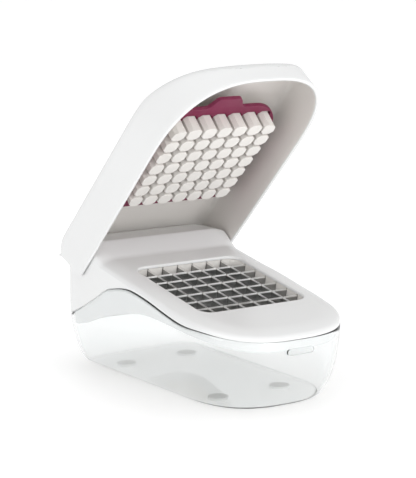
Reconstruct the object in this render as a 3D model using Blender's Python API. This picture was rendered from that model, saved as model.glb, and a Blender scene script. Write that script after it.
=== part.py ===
"""Press-down vegetable chopper: a clear container, a white body with a square blade grid,
and a hinged lid whose pushers force food through the blades.

Metres, +Z up, +X to the user's right, +Y to the rear. The lid is modelled closed, about its
hinge, and an empty on the hinge axis stands it open. Deck space is the blade plane's own
frame: it starts at the hinge axis, its Y runs to the rear along the blades, its Z is square
to them.
"""

import math

import bmesh
import bpy
from mathutils import Matrix, Vector

# Fits between pieces.
TOUCH_GAP = 0.0003
SEAM_GAP = 0.0005
RUNNING_GAP = 0.0004

# Dice and blades.
CELLS = 7
BLADE_THICKNESS = 0.0006
BLADE_HEIGHT = 0.010
BLADE_RECESS = 0.0025
BLADE_SEAT_DEPTH = 0.0018

# Body plan: straight sides, round nose, straight rear edge. The dice fill the deck between
# its two side bands.
HALF_WIDTH = 0.060
DECK_BAND = 0.01555
PITCH = 2 * (HALF_WIDTH - DECK_BAND) / CELLS
NOSE_START_Y = -0.037
NOSE_LENGTH = 0.070
NOSE_ROUNDNESS = 2.75
REAR_Y = 0.108
REAR_CORNER = 0.024
CORNER_STEPS = 5
NOSE_STEPS = 11

# Hinge.
HINGE_Y = 0.086
HINGE_Z = 0.0875
DECK_TILT = math.radians(11.0)
OPEN_ANGLE = math.radians(54.0)
PIN_RADIUS = 0.003
PIN_SEAT = 0.014
PIN_COVER = 0.001
PIN_SOCKET_END_GAP = 0.0003
PIN_BOSS_RADIUS = 0.007
PIN_BOSS_LENGTH = 0.013

# Container.
CONTAINER_WALL = 0.002
CONTAINER_FLOOR = 0.0022
CONTAINER_FLOOR_Z = 0.002
TAPER_TOP_Z = 0.050
TAPER_DEPTH = 0.016
TAPER_ROUNDNESS = 1.9
TAPER_STEPS = 9
FOOT_RADIUS = 0.007
FOOT_X = 0.026
FOOT_FRONT_Y = -0.050
FOOT_REAR_Y = 0.066
TAB_HALF_WIDTH = 0.011
TAB_HALF_HEIGHT = 0.0021
TAB_Z = 0.0423
TAB_PROUD = 0.001
TAB_FRONT_Y = NOSE_START_Y - NOSE_LENGTH - TAB_PROUD

# Line where body and container meet, as (Y, Z) from the nose to the rear.
SEAM = (
    (-0.125, 0.048),
    (-0.107, 0.0500),
    (-0.0755, 0.0552),
    (-0.055, 0.0573),
    (-0.0345, 0.0617),
    (-0.013, 0.0670),
    (0.009, 0.0704),
    (0.0245, 0.0693),
    (0.041, 0.0650),
    (0.055, 0.0570),
    (0.080, 0.0445),
    (0.100, 0.0375),
    (0.125, 0.034),
)
# Lower edge of the skirt that plugs into the container, as (Y, Z).
SKIRT_EDGE = (
    (-0.125, 0.040),
    (-0.107, 0.0420),
    (-0.0755, 0.0489),
    (-0.026, 0.0548),
    (0.0025, 0.0545),
    (0.0435, 0.0455),
    (0.075, 0.0350),
    (0.125, 0.026),
)
LINE_STEPS = 3

# Body shell.
DECK_HEIGHT = 0.0052
DECK_PLATE = 0.002
SKIRT_WALL = 0.0018
SHOULDER_WIDTH = 0.014
SHOULDER_DROP = 0.0035
EDGE_RADIUS = 0.0025
ROOF_MARGIN = 0.001
NOSE_ROLL_LENGTH = 0.012
NOSE_ROLL_DROP = 0.0035
RISER_Y = 0.048
BLOCK_RISE_END_Y = 0.062
HUMP_RADIUS = 0.009
SHELL_WALL = 0.0025
REAR_LEDGE_Z = 0.0763

# Opening over the blades, in deck space.
OPENING_CORNER = 0.009
FRAME_WALL = 0.003
FRAME_HEIGHT = 0.012
LUG_REACH = 0.00605
LUG_X = CELLS * PITCH / 2 + LUG_REACH
LUG_RADIUS = 0.0036
LUG_THICKNESS = 0.003
LUG_DROP = 0.0059
LUG_ROWS = (1, 5)
SCREW_RADIUS = 0.0011
SCREW_CLEARANCE = 0.0003
SCREW_LENGTH = 0.0068
SCREW_HEAD_RADIUS = 0.0024
SCREW_HEAD = 0.0016
POST_RADIUS = 0.0027

# Lid.
LID_WALL = 0.0025
LID_SIDE_GAP = 0.0007
LID_HALF_WIDTH = HALF_WIDTH + LID_SIDE_GAP + LID_WALL
LID_NOSE_REACH = 0.008
LID_NOSE_Y = NOSE_START_Y - NOSE_LENGTH - LID_NOSE_REACH
PIN_END_X = LID_HALF_WIDTH - PIN_COVER
PIN_LENGTH = PIN_END_X - HALF_WIDTH + PIN_SEAT
LID_SLOPE = math.radians(8.75)
LID_CROWN = 0.0012
LID_EDGE_RADIUS = 0.006
LID_HEEL_RADIUS = 0.016
LID_HEEL_ANGLE = math.radians(31.0)
LID_NOSE_CURVE_Y = -0.060
LID_NOSE_DROP = 0.022
LID_RIM_REAR = (0.0907, 0.0655)
LID_RIM_SLOPE = math.radians(8.3)

# Pushers and the grid that clears them, in deck space.
PUSHER_GAP = 0.0021
PUSHER_SIZE = PITCH - PUSHER_GAP
PUSHER_EDGE_GAP = 0.0006
PUSHER_CHAMFER = 0.0025
PUSHER_REACH = 0.0058
PUSHER_PLATE_LOW = 0.0095
PUSHER_PLATE = 0.002
PUSHER_PLATE_MARGIN = 0.0015
BOSS_RADIUS = 0.0045
PEG_RADIUS = 0.0016
PEG_LENGTH = 0.0028
PEG_CLEARANCE = 0.0003
PEG_COLUMN = 3
GRID_THICKNESS = 0.003
GRID_HOLE_GAP = 0.0004
GRID_DROP_GAP = 0.0005
GRID_HALF_WIDTH = HALF_WIDTH - CONTAINER_WALL - RUNNING_GAP - SKIRT_WALL - GRID_DROP_GAP
GRID_FRONT_MARGIN = 0.0061
GRID_REAR_MARGIN = 0.0165
GRID_REAR_CORNER = 0.012
GRID_SWEEP_WIDTH = 0.028
GRID_SWEEP_LENGTH = 0.040
GRID_TAB_HALF_WIDTH = 0.0095
GRID_TAB_LENGTH = 0.0095
GRID_TAB_SLANT = 0.005

# First column of dice from the middle, first row from the hinge, measured along the deck.
ROW_ONE = 0.06425
FIRST_CELL = (CELLS - 1) / 2

# Looks: base colour, roughness, metallic, transmission.
WHITE = ("white_plastic", (0.86, 0.86, 0.85), 0.28, 0.0, 0.0)
WHITE_SATIN = ("white_satin_plastic", (0.80, 0.79, 0.77), 0.45, 0.0, 0.0)
CLEAR = ("clear_plastic", (0.93, 0.95, 0.95), 0.06, 0.0, 0.95)
STEEL = ("blade_steel", (0.62, 0.62, 0.61), 0.28, 1.0, 0.0)
MAROON = ("maroon_plastic", (0.30, 0.02, 0.10), 0.40, 0.0, 0.0)
RUBBER = ("foot_rubber", (0.70, 0.70, 0.69), 0.70, 0.0, 0.0)

HINGE = Matrix.Translation((0.0, HINGE_Y, HINGE_Z))
DECK = HINGE @ Matrix.Rotation(DECK_TILT, 4, "X")
# Lid pieces are modelled about the hinge, so their deck has no offset.
LID_DECK = Matrix.Rotation(DECK_TILT, 4, "X")
# Turns a drawing in (Y, Z) into a side view, its thickness along X.
SIDE_VIEW = Matrix(((0, 0, 1, 0), (1, 0, 0, 0), (0, 1, 0, 0), (0, 0, 0, 1)))
BEYOND = 0.03


def material(look):
    """The Principled material of one finish, made once."""
    name, colour, roughness, metallic, transmission = look
    found = bpy.data.materials.get(name)
    if found:
        return found
    made = bpy.data.materials.new(name)
    made.use_nodes = True
    shader = made.node_tree.nodes["Principled BSDF"]
    shader.inputs["Base Color"].default_value = (*colour, 1.0)
    shader.inputs["Roughness"].default_value = roughness
    shader.inputs["Metallic"].default_value = metallic
    shader.inputs["Transmission Weight"].default_value = transmission
    return made


def clear_scene():
    """Start from an empty file."""
    for old in list(bpy.data.objects):
        bpy.data.objects.remove(old, do_unlink=True)


def collection(name):
    made = bpy.data.collections.new(name)
    bpy.context.scene.collection.children.link(made)
    return made


def add_part(name, mesh, look, parent=None):
    """A finished sub-part, in the object's own collection."""
    made = bpy.data.objects.new(name, mesh)
    parts.objects.link(made)
    made.data.materials.append(material(look))
    made.parent = parent
    return made


def add_cutter(name, mesh, parent=None):
    """A helper solid that only cuts, joins or trims."""
    made = bpy.data.objects.new(name, mesh)
    cutters.objects.link(made)
    made.hide_render = True
    made.display_type = "WIRE"
    made.parent = parent
    return made


def combine(target, helper, operation):
    """Cut, join or trim the target with a helper solid."""
    step = target.modifiers.new(f"{operation.lower()}_{helper.name}", "BOOLEAN")
    step.operation = operation
    step.solver = "EXACT"
    step.object = helper


def smooth_line(points, steps):
    """A smooth line through points whose first value rises, by cubic pieces."""
    slopes = []
    for i in range(len(points)):
        before = points[max(i - 1, 0)]
        after = points[min(i + 1, len(points) - 1)]
        slopes.append((after[1] - before[1]) / (after[0] - before[0]))
    line = []
    for i in range(len(points) - 1):
        (y0, z0), (y1, z1) = points[i], points[i + 1]
        run = y1 - y0
        for k in range(steps):
            t = k / steps
            z = (2 * t**3 - 3 * t**2 + 1) * z0 + (3 * t**2 - 2 * t**3) * z1
            z += (t**3 - 2 * t**2 + t) * run * slopes[i] + (t**3 - t**2) * run * slopes[i + 1]
            line.append((y0 + t * run, z))
    line.append(points[-1])
    return line


def arc(centre, radius, start, end, steps):
    """Points on an arc, from one angle to another, both ends included."""
    angles = [start + (end - start) * k / steps for k in range(steps + 1)]
    return [(centre[0] + radius * math.cos(a), centre[1] + radius * math.sin(a)) for a in angles]


def rounded_rectangle(low, high, radius, steps=4):
    """A rectangle from its low corner to its high corner, with round corners."""
    (x0, y0), (x1, y1) = low, high
    corners = ((x1, y1), (x0, y1), (x0, y0), (x1, y0))
    inward = ((-1, -1), (1, -1), (1, 1), (-1, 1))
    points = []
    for k in range(4):
        centre = (corners[k][0] + inward[k][0] * radius, corners[k][1] + inward[k][1] * radius)
        start = k * math.pi / 2
        points += arc(centre, radius, start, start + math.pi / 2, steps)
    return points


def chamfered_square(size, chamfer, centre):
    """A square with its four corners cut off."""
    half = size / 2
    cut = half - chamfer
    ring = ((half, -cut), (half, cut), (cut, half), (-cut, half))
    ring += ((-half, cut), (-half, -cut), (-cut, -half), (cut, -half))
    return [(centre[0] + x, centre[1] + y) for x, y in ring]


def drawn_solid(name, loops, low, high, matrix):
    """A flat drawing given thickness from low to high; inner loops are holes."""
    curve = bpy.data.curves.new(name, "CURVE")
    curve.dimensions = "2D"
    curve.fill_mode = "BOTH"
    curve.extrude = (high - low) / 2
    for loop in loops:
        spline = curve.splines.new("POLY")
        spline.points.add(len(loop) - 1)
        spline.use_cyclic_u = True
        for point, (x, y) in zip(spline.points, loop):
            point.co = (x, y, 0.0, 1.0)
    drawing = bpy.data.objects.new(name, curve)
    cutters.objects.link(drawing)
    evaluated = drawing.evaluated_get(bpy.context.evaluated_depsgraph_get())
    mesh = bpy.data.meshes.new_from_object(evaluated)
    bpy.data.objects.remove(drawing, do_unlink=True)
    return settled(mesh, matrix @ Matrix.Translation((0.0, 0.0, (low + high) / 2)))


def settled(mesh, matrix=None):
    """Weld a mesh's loose caps, place it, and point its faces outwards."""
    shape = bmesh.new()
    shape.from_mesh(mesh)
    bmesh.ops.remove_doubles(shape, verts=shape.verts, dist=0.000001)
    if matrix is not None:
        bmesh.ops.transform(shape, matrix=matrix, verts=shape.verts)
    bmesh.ops.recalc_face_normals(shape, faces=shape.faces)
    shape.to_mesh(mesh)
    shape.free()
    return mesh


def side_solid(name, loop, matrix=None):
    """A side view, drawn in (Y, Z), that reaches past both sides of the part."""
    reach = LID_HALF_WIDTH + BEYOND
    placed = SIDE_VIEW if matrix is None else matrix @ SIDE_VIEW
    return drawn_solid(name, [loop], -reach, reach, placed)


def loft(name, sections):
    """A solid skinned over sections of equal count, with its two ends closed."""
    shape = bmesh.new()
    rings = [[shape.verts.new(point) for point in section] for section in sections]
    for near, far in zip(rings, rings[1:]):
        for k in range(len(near)):
            after = (k + 1) % len(near)
            shape.faces.new((near[k], near[after], far[after], far[k]))
    shape.faces.new(list(reversed(rings[0])))
    shape.faces.new(rings[-1])
    mesh = bpy.data.meshes.new(name)
    shape.to_mesh(mesh)
    shape.free()
    return settled(mesh)


def cylinder(radius, low, high, matrix, sides=20):
    """A round bar along the matrix's Z, from low to high."""
    shape = bmesh.new()
    middle = Matrix.Translation((0.0, 0.0, (low + high) / 2))
    bmesh.ops.create_cone(
        shape, cap_ends=True, segments=sides, radius1=radius, radius2=radius,
        depth=high - low, matrix=matrix @ middle,
    )
    bmesh.ops.recalc_face_normals(shape, faces=shape.faces)
    mesh = bpy.data.meshes.new("bar")
    shape.to_mesh(mesh)
    shape.free()
    return mesh


def joined(name, meshes):
    """Several meshes as one, so that a single helper can cut many places."""
    shape = bmesh.new()
    for mesh in meshes:
        shape.from_mesh(mesh)
        bpy.data.meshes.remove(mesh)
    whole = bpy.data.meshes.new(name)
    shape.to_mesh(whole)
    shape.free()
    return whole


def body_half_width(y, grow):
    """Half the body's width at a place along it, with the whole plan grown outwards."""
    half = HALF_WIDTH + grow
    if y < NOSE_START_Y:
        along = min((NOSE_START_Y - y) / (NOSE_LENGTH + grow), 1.0)
        return half * (1.0 - along**NOSE_ROUNDNESS) ** (1.0 / NOSE_ROUNDNESS)
    corner_y = REAR_Y - REAR_CORNER
    if y > corner_y:
        radius = REAR_CORNER + grow
        past = min(y - corner_y, radius)
        return half - radius + math.sqrt(radius**2 - past**2)
    return half


def nose_stations(start_y, length, steps):
    """Places along a round nose, from its tip, closer together where it turns."""
    power = 2.0 / NOSE_ROUNDNESS
    turns = [math.pi / 2 * k / steps for k in range(steps + 1)]
    return [start_y - length * math.cos(turn) ** power for turn in turns]


def plan_ring(grow, z):
    """The body's outline at one height, once round."""
    length = NOSE_LENGTH + grow
    ys = nose_stations(NOSE_START_Y, length, NOSE_STEPS)
    right = [(body_half_width(y, grow), y) for y in ys]
    right[0] = (0.0, NOSE_START_Y - length)
    corner = (HALF_WIDTH - REAR_CORNER, REAR_Y - REAR_CORNER)
    right += arc(corner, REAR_CORNER + grow, 0.0, math.pi / 2, CORNER_STEPS)
    left = [(-x, y) for x, y in reversed(right[1:])]
    return [(x, y, z) for x, y in right + left]


def taper(z):
    """How far the container's outside has drawn in at a height."""
    fall = min(max((TAPER_TOP_Z - z) / (TAPER_TOP_Z - CONTAINER_FLOOR_Z), 0.0), 1.0)
    rest = (1.0 - fall**TAPER_ROUNDNESS) ** (1.0 / TAPER_ROUNDNESS)
    return TAPER_DEPTH * (1.0 - rest)


def bowl(name, inset, low, high):
    """The container's tapered form, set in by a wall's thickness."""
    turns = [math.pi / 2 * k / TAPER_STEPS for k in range(TAPER_STEPS)]
    heights = [TAPER_TOP_Z - (TAPER_TOP_Z - low) * math.cos(turn) for turn in turns]
    heights += [TAPER_TOP_Z, high]
    return loft(name, [plan_ring(-taper(z) - inset, z) for z in heights])


def rolled_columns(radius, start=0.0):
    """Distances from a side, closest together where a round edge is steepest."""
    return [start + radius * (1.0 - math.cos(math.pi / 2 * k / 4)) for k in range(5)]


def roofed(name, stations, width_at, offsets, top_at, floor):
    """A solid under a shaped top, skinned over cross-sections from the nose to the rear.

    The offsets are its columns' distances from the side; a narrow section draws them in.
    """
    sections = []
    for y in stations:
        half = width_at(y)
        drawn_in = min(1.0, half / 2 / offsets[-1])
        right = [half - drawn_in * offset for offset in offsets]
        right.append(right[-1] / 2)
        columns = [-x for x in right] + [0.0] + list(reversed(right))
        section = [(x, y, top_at(x, y, half)) for x in columns]
        section += [(half, y, floor), (-half, y, floor)]
        sections.append(section)
    return loft(name, sections)


def deck_z(y, height):
    """World height of a plane at the given height over the blades' plane."""
    return HINGE_Z + (y - HINGE_Y) * math.tan(DECK_TILT) + height / math.cos(DECK_TILT)


def rolled_edge(distance, radius):
    """How far a round edge has fallen at a distance from the side."""
    if distance >= radius:
        return 0.0
    return radius - math.sqrt(max(radius**2 - (radius - distance) ** 2, 0.0))


def seam_line(lift):
    return [(y, z + lift) for y, z in smooth_line(SEAM, LINE_STEPS)]


def skirt_line():
    return smooth_line(SKIRT_EDGE, LINE_STEPS)


def below(line):
    """Everything under a line, as a side view."""
    return line + [(line[-1][0], -BEYOND), (line[0][0], -BEYOND)]


def above(line):
    """Everything over a line, as a side view."""
    ceiling = HINGE_Z + 3 * BEYOND
    return line + [(line[-1][0], ceiling), (line[0][0], ceiling)]


def between(lower, upper):
    return lower + list(reversed(upper))


def body_columns():
    edge = rolled_columns(EDGE_RADIUS, ROOF_MARGIN)
    return [0.0] + edge + [ROOF_MARGIN + SHOULDER_WIDTH / 2, ROOF_MARGIN + SHOULDER_WIDTH]


def body_stations():
    """Places along the body where its top changes, from the nose to the rear."""
    stations = nose_stations(NOSE_START_Y, NOSE_LENGTH + ROOF_MARGIN, NOSE_STEPS)
    stations += [RISER_Y, BLOCK_RISE_END_Y]
    turns = [math.pi / 2 * k / 5 for k in range(6)]
    stations += [HINGE_Y + HUMP_RADIUS * math.sin(turn) for turn in turns]
    stations += [HINGE_Y + HUMP_RADIUS + TOUCH_GAP]
    stations += [REAR_Y - offset for offset in reversed(rolled_columns(EDGE_RADIUS))]
    return stations + [REAR_Y + ROOF_MARGIN]


def block_top(y):
    """Height of the hinge block: a slope up from the deck, a level top, then round the hinge."""
    level = HINGE_Z + HUMP_RADIUS
    if y < BLOCK_RISE_END_Y:
        foot = deck_z(RISER_Y, DECK_HEIGHT)
        return foot + (y - RISER_Y) / (BLOCK_RISE_END_Y - RISER_Y) * (level - foot)
    if y > HINGE_Y:
        return HINGE_Z + math.sqrt(max(HUMP_RADIUS**2 - (y - HINGE_Y) ** 2, 0.0))
    return level


def body_top(x, y, half):
    """Height of the body's outside at a place in plan, held level past its edges."""
    side = max(half - ROOF_MARGIN - abs(x), 0.0)
    fall = SHOULDER_DROP * (1 - side / SHOULDER_WIDTH) ** 2 if side < SHOULDER_WIDTH else 0.0
    fall += rolled_edge(side, EDGE_RADIUS)
    nose_y = NOSE_START_Y - NOSE_LENGTH
    from_nose = max(y - nose_y, 0.0)
    if from_nose < NOSE_ROLL_LENGTH:
        fall = max(fall, NOSE_ROLL_DROP * (1 - from_nose / NOSE_ROLL_LENGTH) ** 2)
        fall = min(fall, NOSE_ROLL_DROP)
    if y > HINGE_Y + HUMP_RADIUS + TOUCH_GAP / 2:
        return REAR_LEDGE_Z - rolled_edge(min(side, max(REAR_Y - y, 0.0)), EDGE_RADIUS)
    if y > RISER_Y:
        return block_top(y) - fall
    return deck_z(y, DECK_HEIGHT) - fall


def inside_stations():
    """Places along the hollow under the body's top."""
    stations = nose_stations(NOSE_START_Y, NOSE_LENGTH, NOSE_STEPS)
    stations += [RISER_Y + SHELL_WALL, BLOCK_RISE_END_Y + SHELL_WALL]
    inner = HUMP_RADIUS - SHELL_WALL
    stations += [HINGE_Y + inner * math.sin(math.pi / 2 * k / 4) for k in range(5)]
    stations += [HINGE_Y + inner + TOUCH_GAP, REAR_Y - SHELL_WALL]
    return stations


def inside_top(x, y, half):
    """Height of the body's inner face, over the hollow."""
    inner = HUMP_RADIUS - SHELL_WALL
    side = half - abs(x)
    fall = SHOULDER_DROP * (1 - side / SHOULDER_WIDTH) ** 2 if side < SHOULDER_WIDTH else 0.0
    if y > HINGE_Y + inner + TOUCH_GAP / 2:
        return REAR_LEDGE_Z - SHELL_WALL
    if y > HINGE_Y:
        return HINGE_Z + math.sqrt(max(inner**2 - (y - HINGE_Y) ** 2, 0.0)) - fall
    if y > RISER_Y + SHELL_WALL:
        return block_top(min(y - SHELL_WALL, HINGE_Y)) - SHELL_WALL - fall
    return deck_z(y, DECK_HEIGHT - DECK_PLATE) - fall


def blade_lines():
    """Where blades stand, counted from the middle column or from the first row."""
    return [k + 0.5 for k in range(CELLS - 1)]


def column_x(k):
    return (k - FIRST_CELL) * PITCH


def row_y(k):
    return -(ROW_ONE + k * PITCH)


def opening_corners(grow):
    """Low and high corner of the cells' outer rectangle, in deck space."""
    half = CELLS * PITCH / 2 + grow
    return (-half, row_y(CELLS - 0.5) - grow), (half, row_y(-0.5) + grow)


def lug_places():
    return [(side * LUG_X, row_y(row)) for row in LUG_ROWS for side in (-1, 1)]


def peg_places():
    x = column_x(FIRST_CELL + PEG_COLUMN - 0.5)
    return [(side * x, row_y(row + 0.5)) for row in (0, CELLS - 2) for side in (-1, 1)]


def upright(x, y, deck):
    return deck @ Matrix.Translation((x, y, 0.0))


def across(side, x):
    """A frame whose Z runs outwards along the hinge axis on one side."""
    turn = Matrix.Rotation(side * math.pi / 2, 4, "Y")
    return Matrix.Translation((side * x, 0.0, 0.0)) @ turn


def make_container():
    """The clear container that catches the dice."""
    high = HINGE_Z
    mesh = bowl("container", 0.0, CONTAINER_FLOOR_Z, high)
    container = add_part("container", mesh, CLEAR)
    floor = CONTAINER_FLOOR_Z + CONTAINER_FLOOR
    inner = bowl("container_inside", CONTAINER_WALL, floor, high + BEYOND)
    combine(container, add_cutter("container_inside", inner), "DIFFERENCE")
    over = side_solid("over_seam", above(seam_line(0.0)))
    combine(container, add_cutter("over_seam", over), "DIFFERENCE")


def make_feet():
    """Four non-slip pads under the container."""
    for end, y in (("front", FOOT_FRONT_Y), ("rear", FOOT_REAR_Y)):
        for side, x in (("left", -FOOT_X), ("right", FOOT_X)):
            place = Matrix.Translation((x, y, 0.0))
            mesh = cylinder(FOOT_RADIUS, 0.0, CONTAINER_FLOOR_Z - TOUCH_GAP, place)
            add_part(f"foot_{end}_{side}", mesh, RUBBER)


def make_finger_tab():
    """The pill-shaped tab on the container's front, under the seam."""
    wide = TAB_HALF_WIDTH - TAB_HALF_HEIGHT
    right = arc((wide, TAB_Z), TAB_HALF_HEIGHT, -math.pi / 2, math.pi / 2, 6)
    left = arc((-wide, TAB_Z), TAB_HALF_HEIGHT, math.pi / 2, 3 * math.pi / 2, 6)
    facing = Matrix.Rotation(math.pi / 2, 4, "X")
    mesh = drawn_solid("finger_tab", [right + left], 0.0, BEYOND, facing)
    shifted(mesh, (0.0, TAB_FRONT_Y + BEYOND, 0.0))
    tab = add_part("finger_tab", mesh, CLEAR)
    front = bowl("tab_seat", -TOUCH_GAP, CONTAINER_FLOOR_Z, HINGE_Z)
    combine(tab, add_cutter("tab_seat", front), "DIFFERENCE")


def shifted(mesh, offset):
    """Move a mesh within its object."""
    mesh.transform(Matrix.Translation(offset))


def make_body():
    """The white body: its top, hinge block and the skirt inside the container."""
    mesh = bowl("chopper_body", 0.0, CONTAINER_FLOOR_Z, HINGE_Z + BEYOND)
    body = add_part("chopper_body", mesh, WHITE)
    mesh = roofed(
        "body_roof", body_stations(), lambda y: body_half_width(y, ROOF_MARGIN),
        body_columns(), body_top, -BEYOND,
    )
    combine(body, add_cutter("body_roof", mesh), "INTERSECT")
    lower = side_solid("under_seam", below(seam_line(SEAM_GAP)))
    combine(body, add_cutter("under_seam", lower), "DIFFERENCE")
    combine(body, skirt_solid(), "UNION")
    combine(body, body_hollow(), "DIFFERENCE")
    low, high = opening_corners(0.0)
    hole = rounded_rectangle(low, high, OPENING_CORNER)
    window = drawn_solid("window", [hole], -BEYOND, BEYOND, DECK)
    combine(body, add_cutter("window", window), "DIFFERENCE")
    pin_bore = PIN_RADIUS + TOUCH_GAP
    bores = [
        cylinder(pin_bore, -PIN_LENGTH - TOUCH_GAP, BEYOND, HINGE @ across(side, PIN_END_X))
        for side in (-1, 1)
    ]
    bore_radius = SCREW_RADIUS + SCREW_CLEARANCE
    top = DECK_HEIGHT - DECK_PLATE
    bores += [
        cylinder(bore_radius, top - LUG_DROP - BEYOND / 2, top - TOUCH_GAP, upright(x, y, DECK), 12)
        for x, y in lug_places()
    ]
    combine(body, add_cutter("body_bores", joined("body_bores", bores)), "DIFFERENCE")


def skirt_solid():
    """The band that plugs into the container, before it is hollowed."""
    gap = CONTAINER_WALL + RUNNING_GAP
    mesh = bowl("skirt", gap, CONTAINER_FLOOR_Z + CONTAINER_FLOOR, HINGE_Z)
    skirt = add_cutter("skirt", mesh)
    band = side_solid("skirt_band", between(skirt_line(), seam_line(SHELL_WALL)))
    combine(skirt, add_cutter("skirt_band", band), "INTERSECT")
    return skirt


def body_hollow():
    """The space under the body's top, less the pins' bosses and the screw posts."""
    inset = CONTAINER_WALL + RUNNING_GAP + SKIRT_WALL
    floor = CONTAINER_FLOOR_Z + CONTAINER_FLOOR
    mesh = bowl("hollow", inset, floor, HINGE_Z + BEYOND)
    hollow = add_cutter("hollow", mesh)
    under = roofed(
        "hollow_roof", inside_stations(), lambda y: body_half_width(y, 0.0),
        [0.0, SHOULDER_WIDTH / 2, SHOULDER_WIDTH], inside_top, -BEYOND,
    )
    combine(hollow, add_cutter("hollow_roof", under), "INTERSECT")
    start = HALF_WIDTH - SHELL_WALL - PIN_BOSS_LENGTH
    solids = [
        cylinder(PIN_BOSS_RADIUS, 0.0, PIN_BOSS_LENGTH + SHELL_WALL, HINGE @ across(side, start))
        for side in (-1, 1)
    ]
    top = DECK_HEIGHT - DECK_PLATE
    solids += [
        cylinder(POST_RADIUS, top - LUG_DROP, top + BEYOND, upright(x, y, DECK), 12)
        for x, y in lug_places()
    ]
    combine(hollow, add_cutter("body_bosses", joined("body_bosses", solids)), "DIFFERENCE")
    return hollow


def blade_top():
    return DECK_HEIGHT - BLADE_RECESS


def make_frame():
    """The ring under the opening that holds the blades' ends."""
    top = DECK_HEIGHT - DECK_PLATE - TOUCH_GAP
    inner = rounded_rectangle(*opening_corners(0.0), OPENING_CORNER)
    outer = rounded_rectangle(*opening_corners(FRAME_WALL), OPENING_CORNER + FRAME_WALL)
    mesh = drawn_solid("blade_frame", [outer, inner], top - FRAME_HEIGHT, top, DECK)
    frame = add_part("blade_frame", mesh, WHITE_SATIN)
    lug_top = DECK_HEIGHT - DECK_PLATE - LUG_DROP - TOUCH_GAP
    wall_x = CELLS * PITCH / 2 + FRAME_WALL / 2
    lugs = []
    for x, y in lug_places():
        side = math.copysign(1.0, x)
        outside = arc((side * LUG_X, y), LUG_RADIUS, -side * math.pi / 2, side * math.pi / 2, 6)
        if side < 0:
            outside = [(2 * side * LUG_X - px, py) for px, py in outside]
        shape = outside + [(side * wall_x, outside[-1][1]), (side * wall_x, outside[0][1])]
        lugs.append(drawn_solid("lug", [shape], lug_top - LUG_THICKNESS, lug_top, DECK))
    combine(frame, add_cutter("lugs", joined("lugs", lugs)), "UNION")
    bore = SCREW_RADIUS + SCREW_CLEARANCE
    cuts = blade_slots()
    cuts += [
        cylinder(bore, lug_top - BEYOND, lug_top + LUG_DROP, upright(x, y, DECK), 12)
        for x, y in lug_places()
    ]
    combine(frame, add_cutter("frame_cuts", joined("frame_cuts", cuts)), "DIFFERENCE")


def blade_slots():
    """The slots in the frame that the blades' ends drop into."""
    (x0, y0), (x1, y1) = opening_corners(BLADE_SEAT_DEPTH + TOUCH_GAP)
    half = BLADE_THICKNESS / 2 + TOUCH_GAP
    inside = OPENING_CORNER
    low = blade_top() - BLADE_HEIGHT - TOUCH_GAP
    slots = []
    for k in blade_lines():
        x = column_x(k)
        y = row_y(k)
        for end, reach in ((y0, inside), (y1, -inside)):
            slots.append(box_between((x - half, end, low), (x + half, end + reach, BEYOND)))
        for end, reach in ((x0, inside), (x1, -inside)):
            slots.append(box_between((end, y - half, low), (end + reach, y + half, BEYOND)))
    return slots


def box_between(low, high):
    """A box in deck space, given two opposite corners."""
    shape = bmesh.new()
    bmesh.ops.create_cube(shape, size=1.0)
    size = [abs(b - a) for a, b in zip(low, high)]
    middle = [(a + b) / 2 for a, b in zip(low, high)]
    bmesh.ops.scale(shape, vec=size, verts=shape.verts)
    bmesh.ops.transform(shape, matrix=DECK @ Matrix.Translation(middle), verts=shape.verts)
    mesh = bpy.data.meshes.new("box")
    shape.to_mesh(mesh)
    shape.free()
    return mesh


def blade_outline(start, end, notches, from_top):
    """A blade's side view: a bar with a half-deep notch wherever another blade crosses."""
    top = blade_top()
    low = top - BLADE_HEIGHT
    middle = (top + low) / 2
    half = BLADE_THICKNESS / 2 + TOUCH_GAP
    depth = middle - TOUCH_GAP / 2 if from_top else middle + TOUCH_GAP / 2
    edge = top if from_top else low
    other = low if from_top else top
    line = [(start, edge)]
    for place in notches:
        line += [(place - half, edge), (place - half, depth)]
        line += [(place + half, depth), (place + half, edge)]
    return line + [(end, edge), (end, other), (start, other)]


def make_blades():
    """Six blades each way, halved over each other at every crossing."""
    (x0, y0), (x1, y1) = opening_corners(BLADE_SEAT_DEPTH)
    lines = blade_lines()
    half = BLADE_THICKNESS / 2
    rows = sorted(row_y(k) for k in lines)
    columns = [column_x(k) for k in lines]
    along = blade_outline(y0, y1, rows, from_top=False)
    over = blade_outline(x0, x1, columns, from_top=True)
    facing = Matrix.Rotation(math.pi / 2, 4, "X")
    for n, k in enumerate(lines, start=1):
        place = DECK @ Matrix.Translation((column_x(k), 0.0, 0.0)) @ SIDE_VIEW
        add_part(f"long_blade_{n}", drawn_solid("blade", [along], -half, half, place), STEEL)
    for n, k in enumerate(lines, start=1):
        place = DECK @ Matrix.Translation((0.0, row_y(k), 0.0)) @ facing
        add_part(f"cross_blade_{n}", drawn_solid("blade", [over], -half, half, place), STEEL)


def make_frame_screws():
    """Four screws that hold the frame under the deck."""
    seat = DECK_HEIGHT - DECK_PLATE - LUG_DROP - LUG_THICKNESS - 2 * TOUCH_GAP
    for n, (x, y) in enumerate(lug_places(), start=1):
        place = upright(x, y, DECK)
        shank = cylinder(SCREW_RADIUS, seat - SCREW_HEAD / 2, seat + SCREW_LENGTH, place, 12)
        screw = add_part(f"frame_screw_{n}", shank, STEEL)
        head = cylinder(SCREW_HEAD_RADIUS, seat - SCREW_HEAD, seat, place, 16)
        combine(screw, add_cutter(f"screw_head_{n}", head), "UNION")


def make_pins():
    """The two pins that the lid turns on."""
    for side, name in ((-1, "left"), (1, "right")):
        mesh = cylinder(PIN_RADIUS, -PIN_LENGTH, 0.0, HINGE @ across(side, PIN_END_X))
        add_part(f"hinge_pin_{name}", mesh, STEEL)


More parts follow.
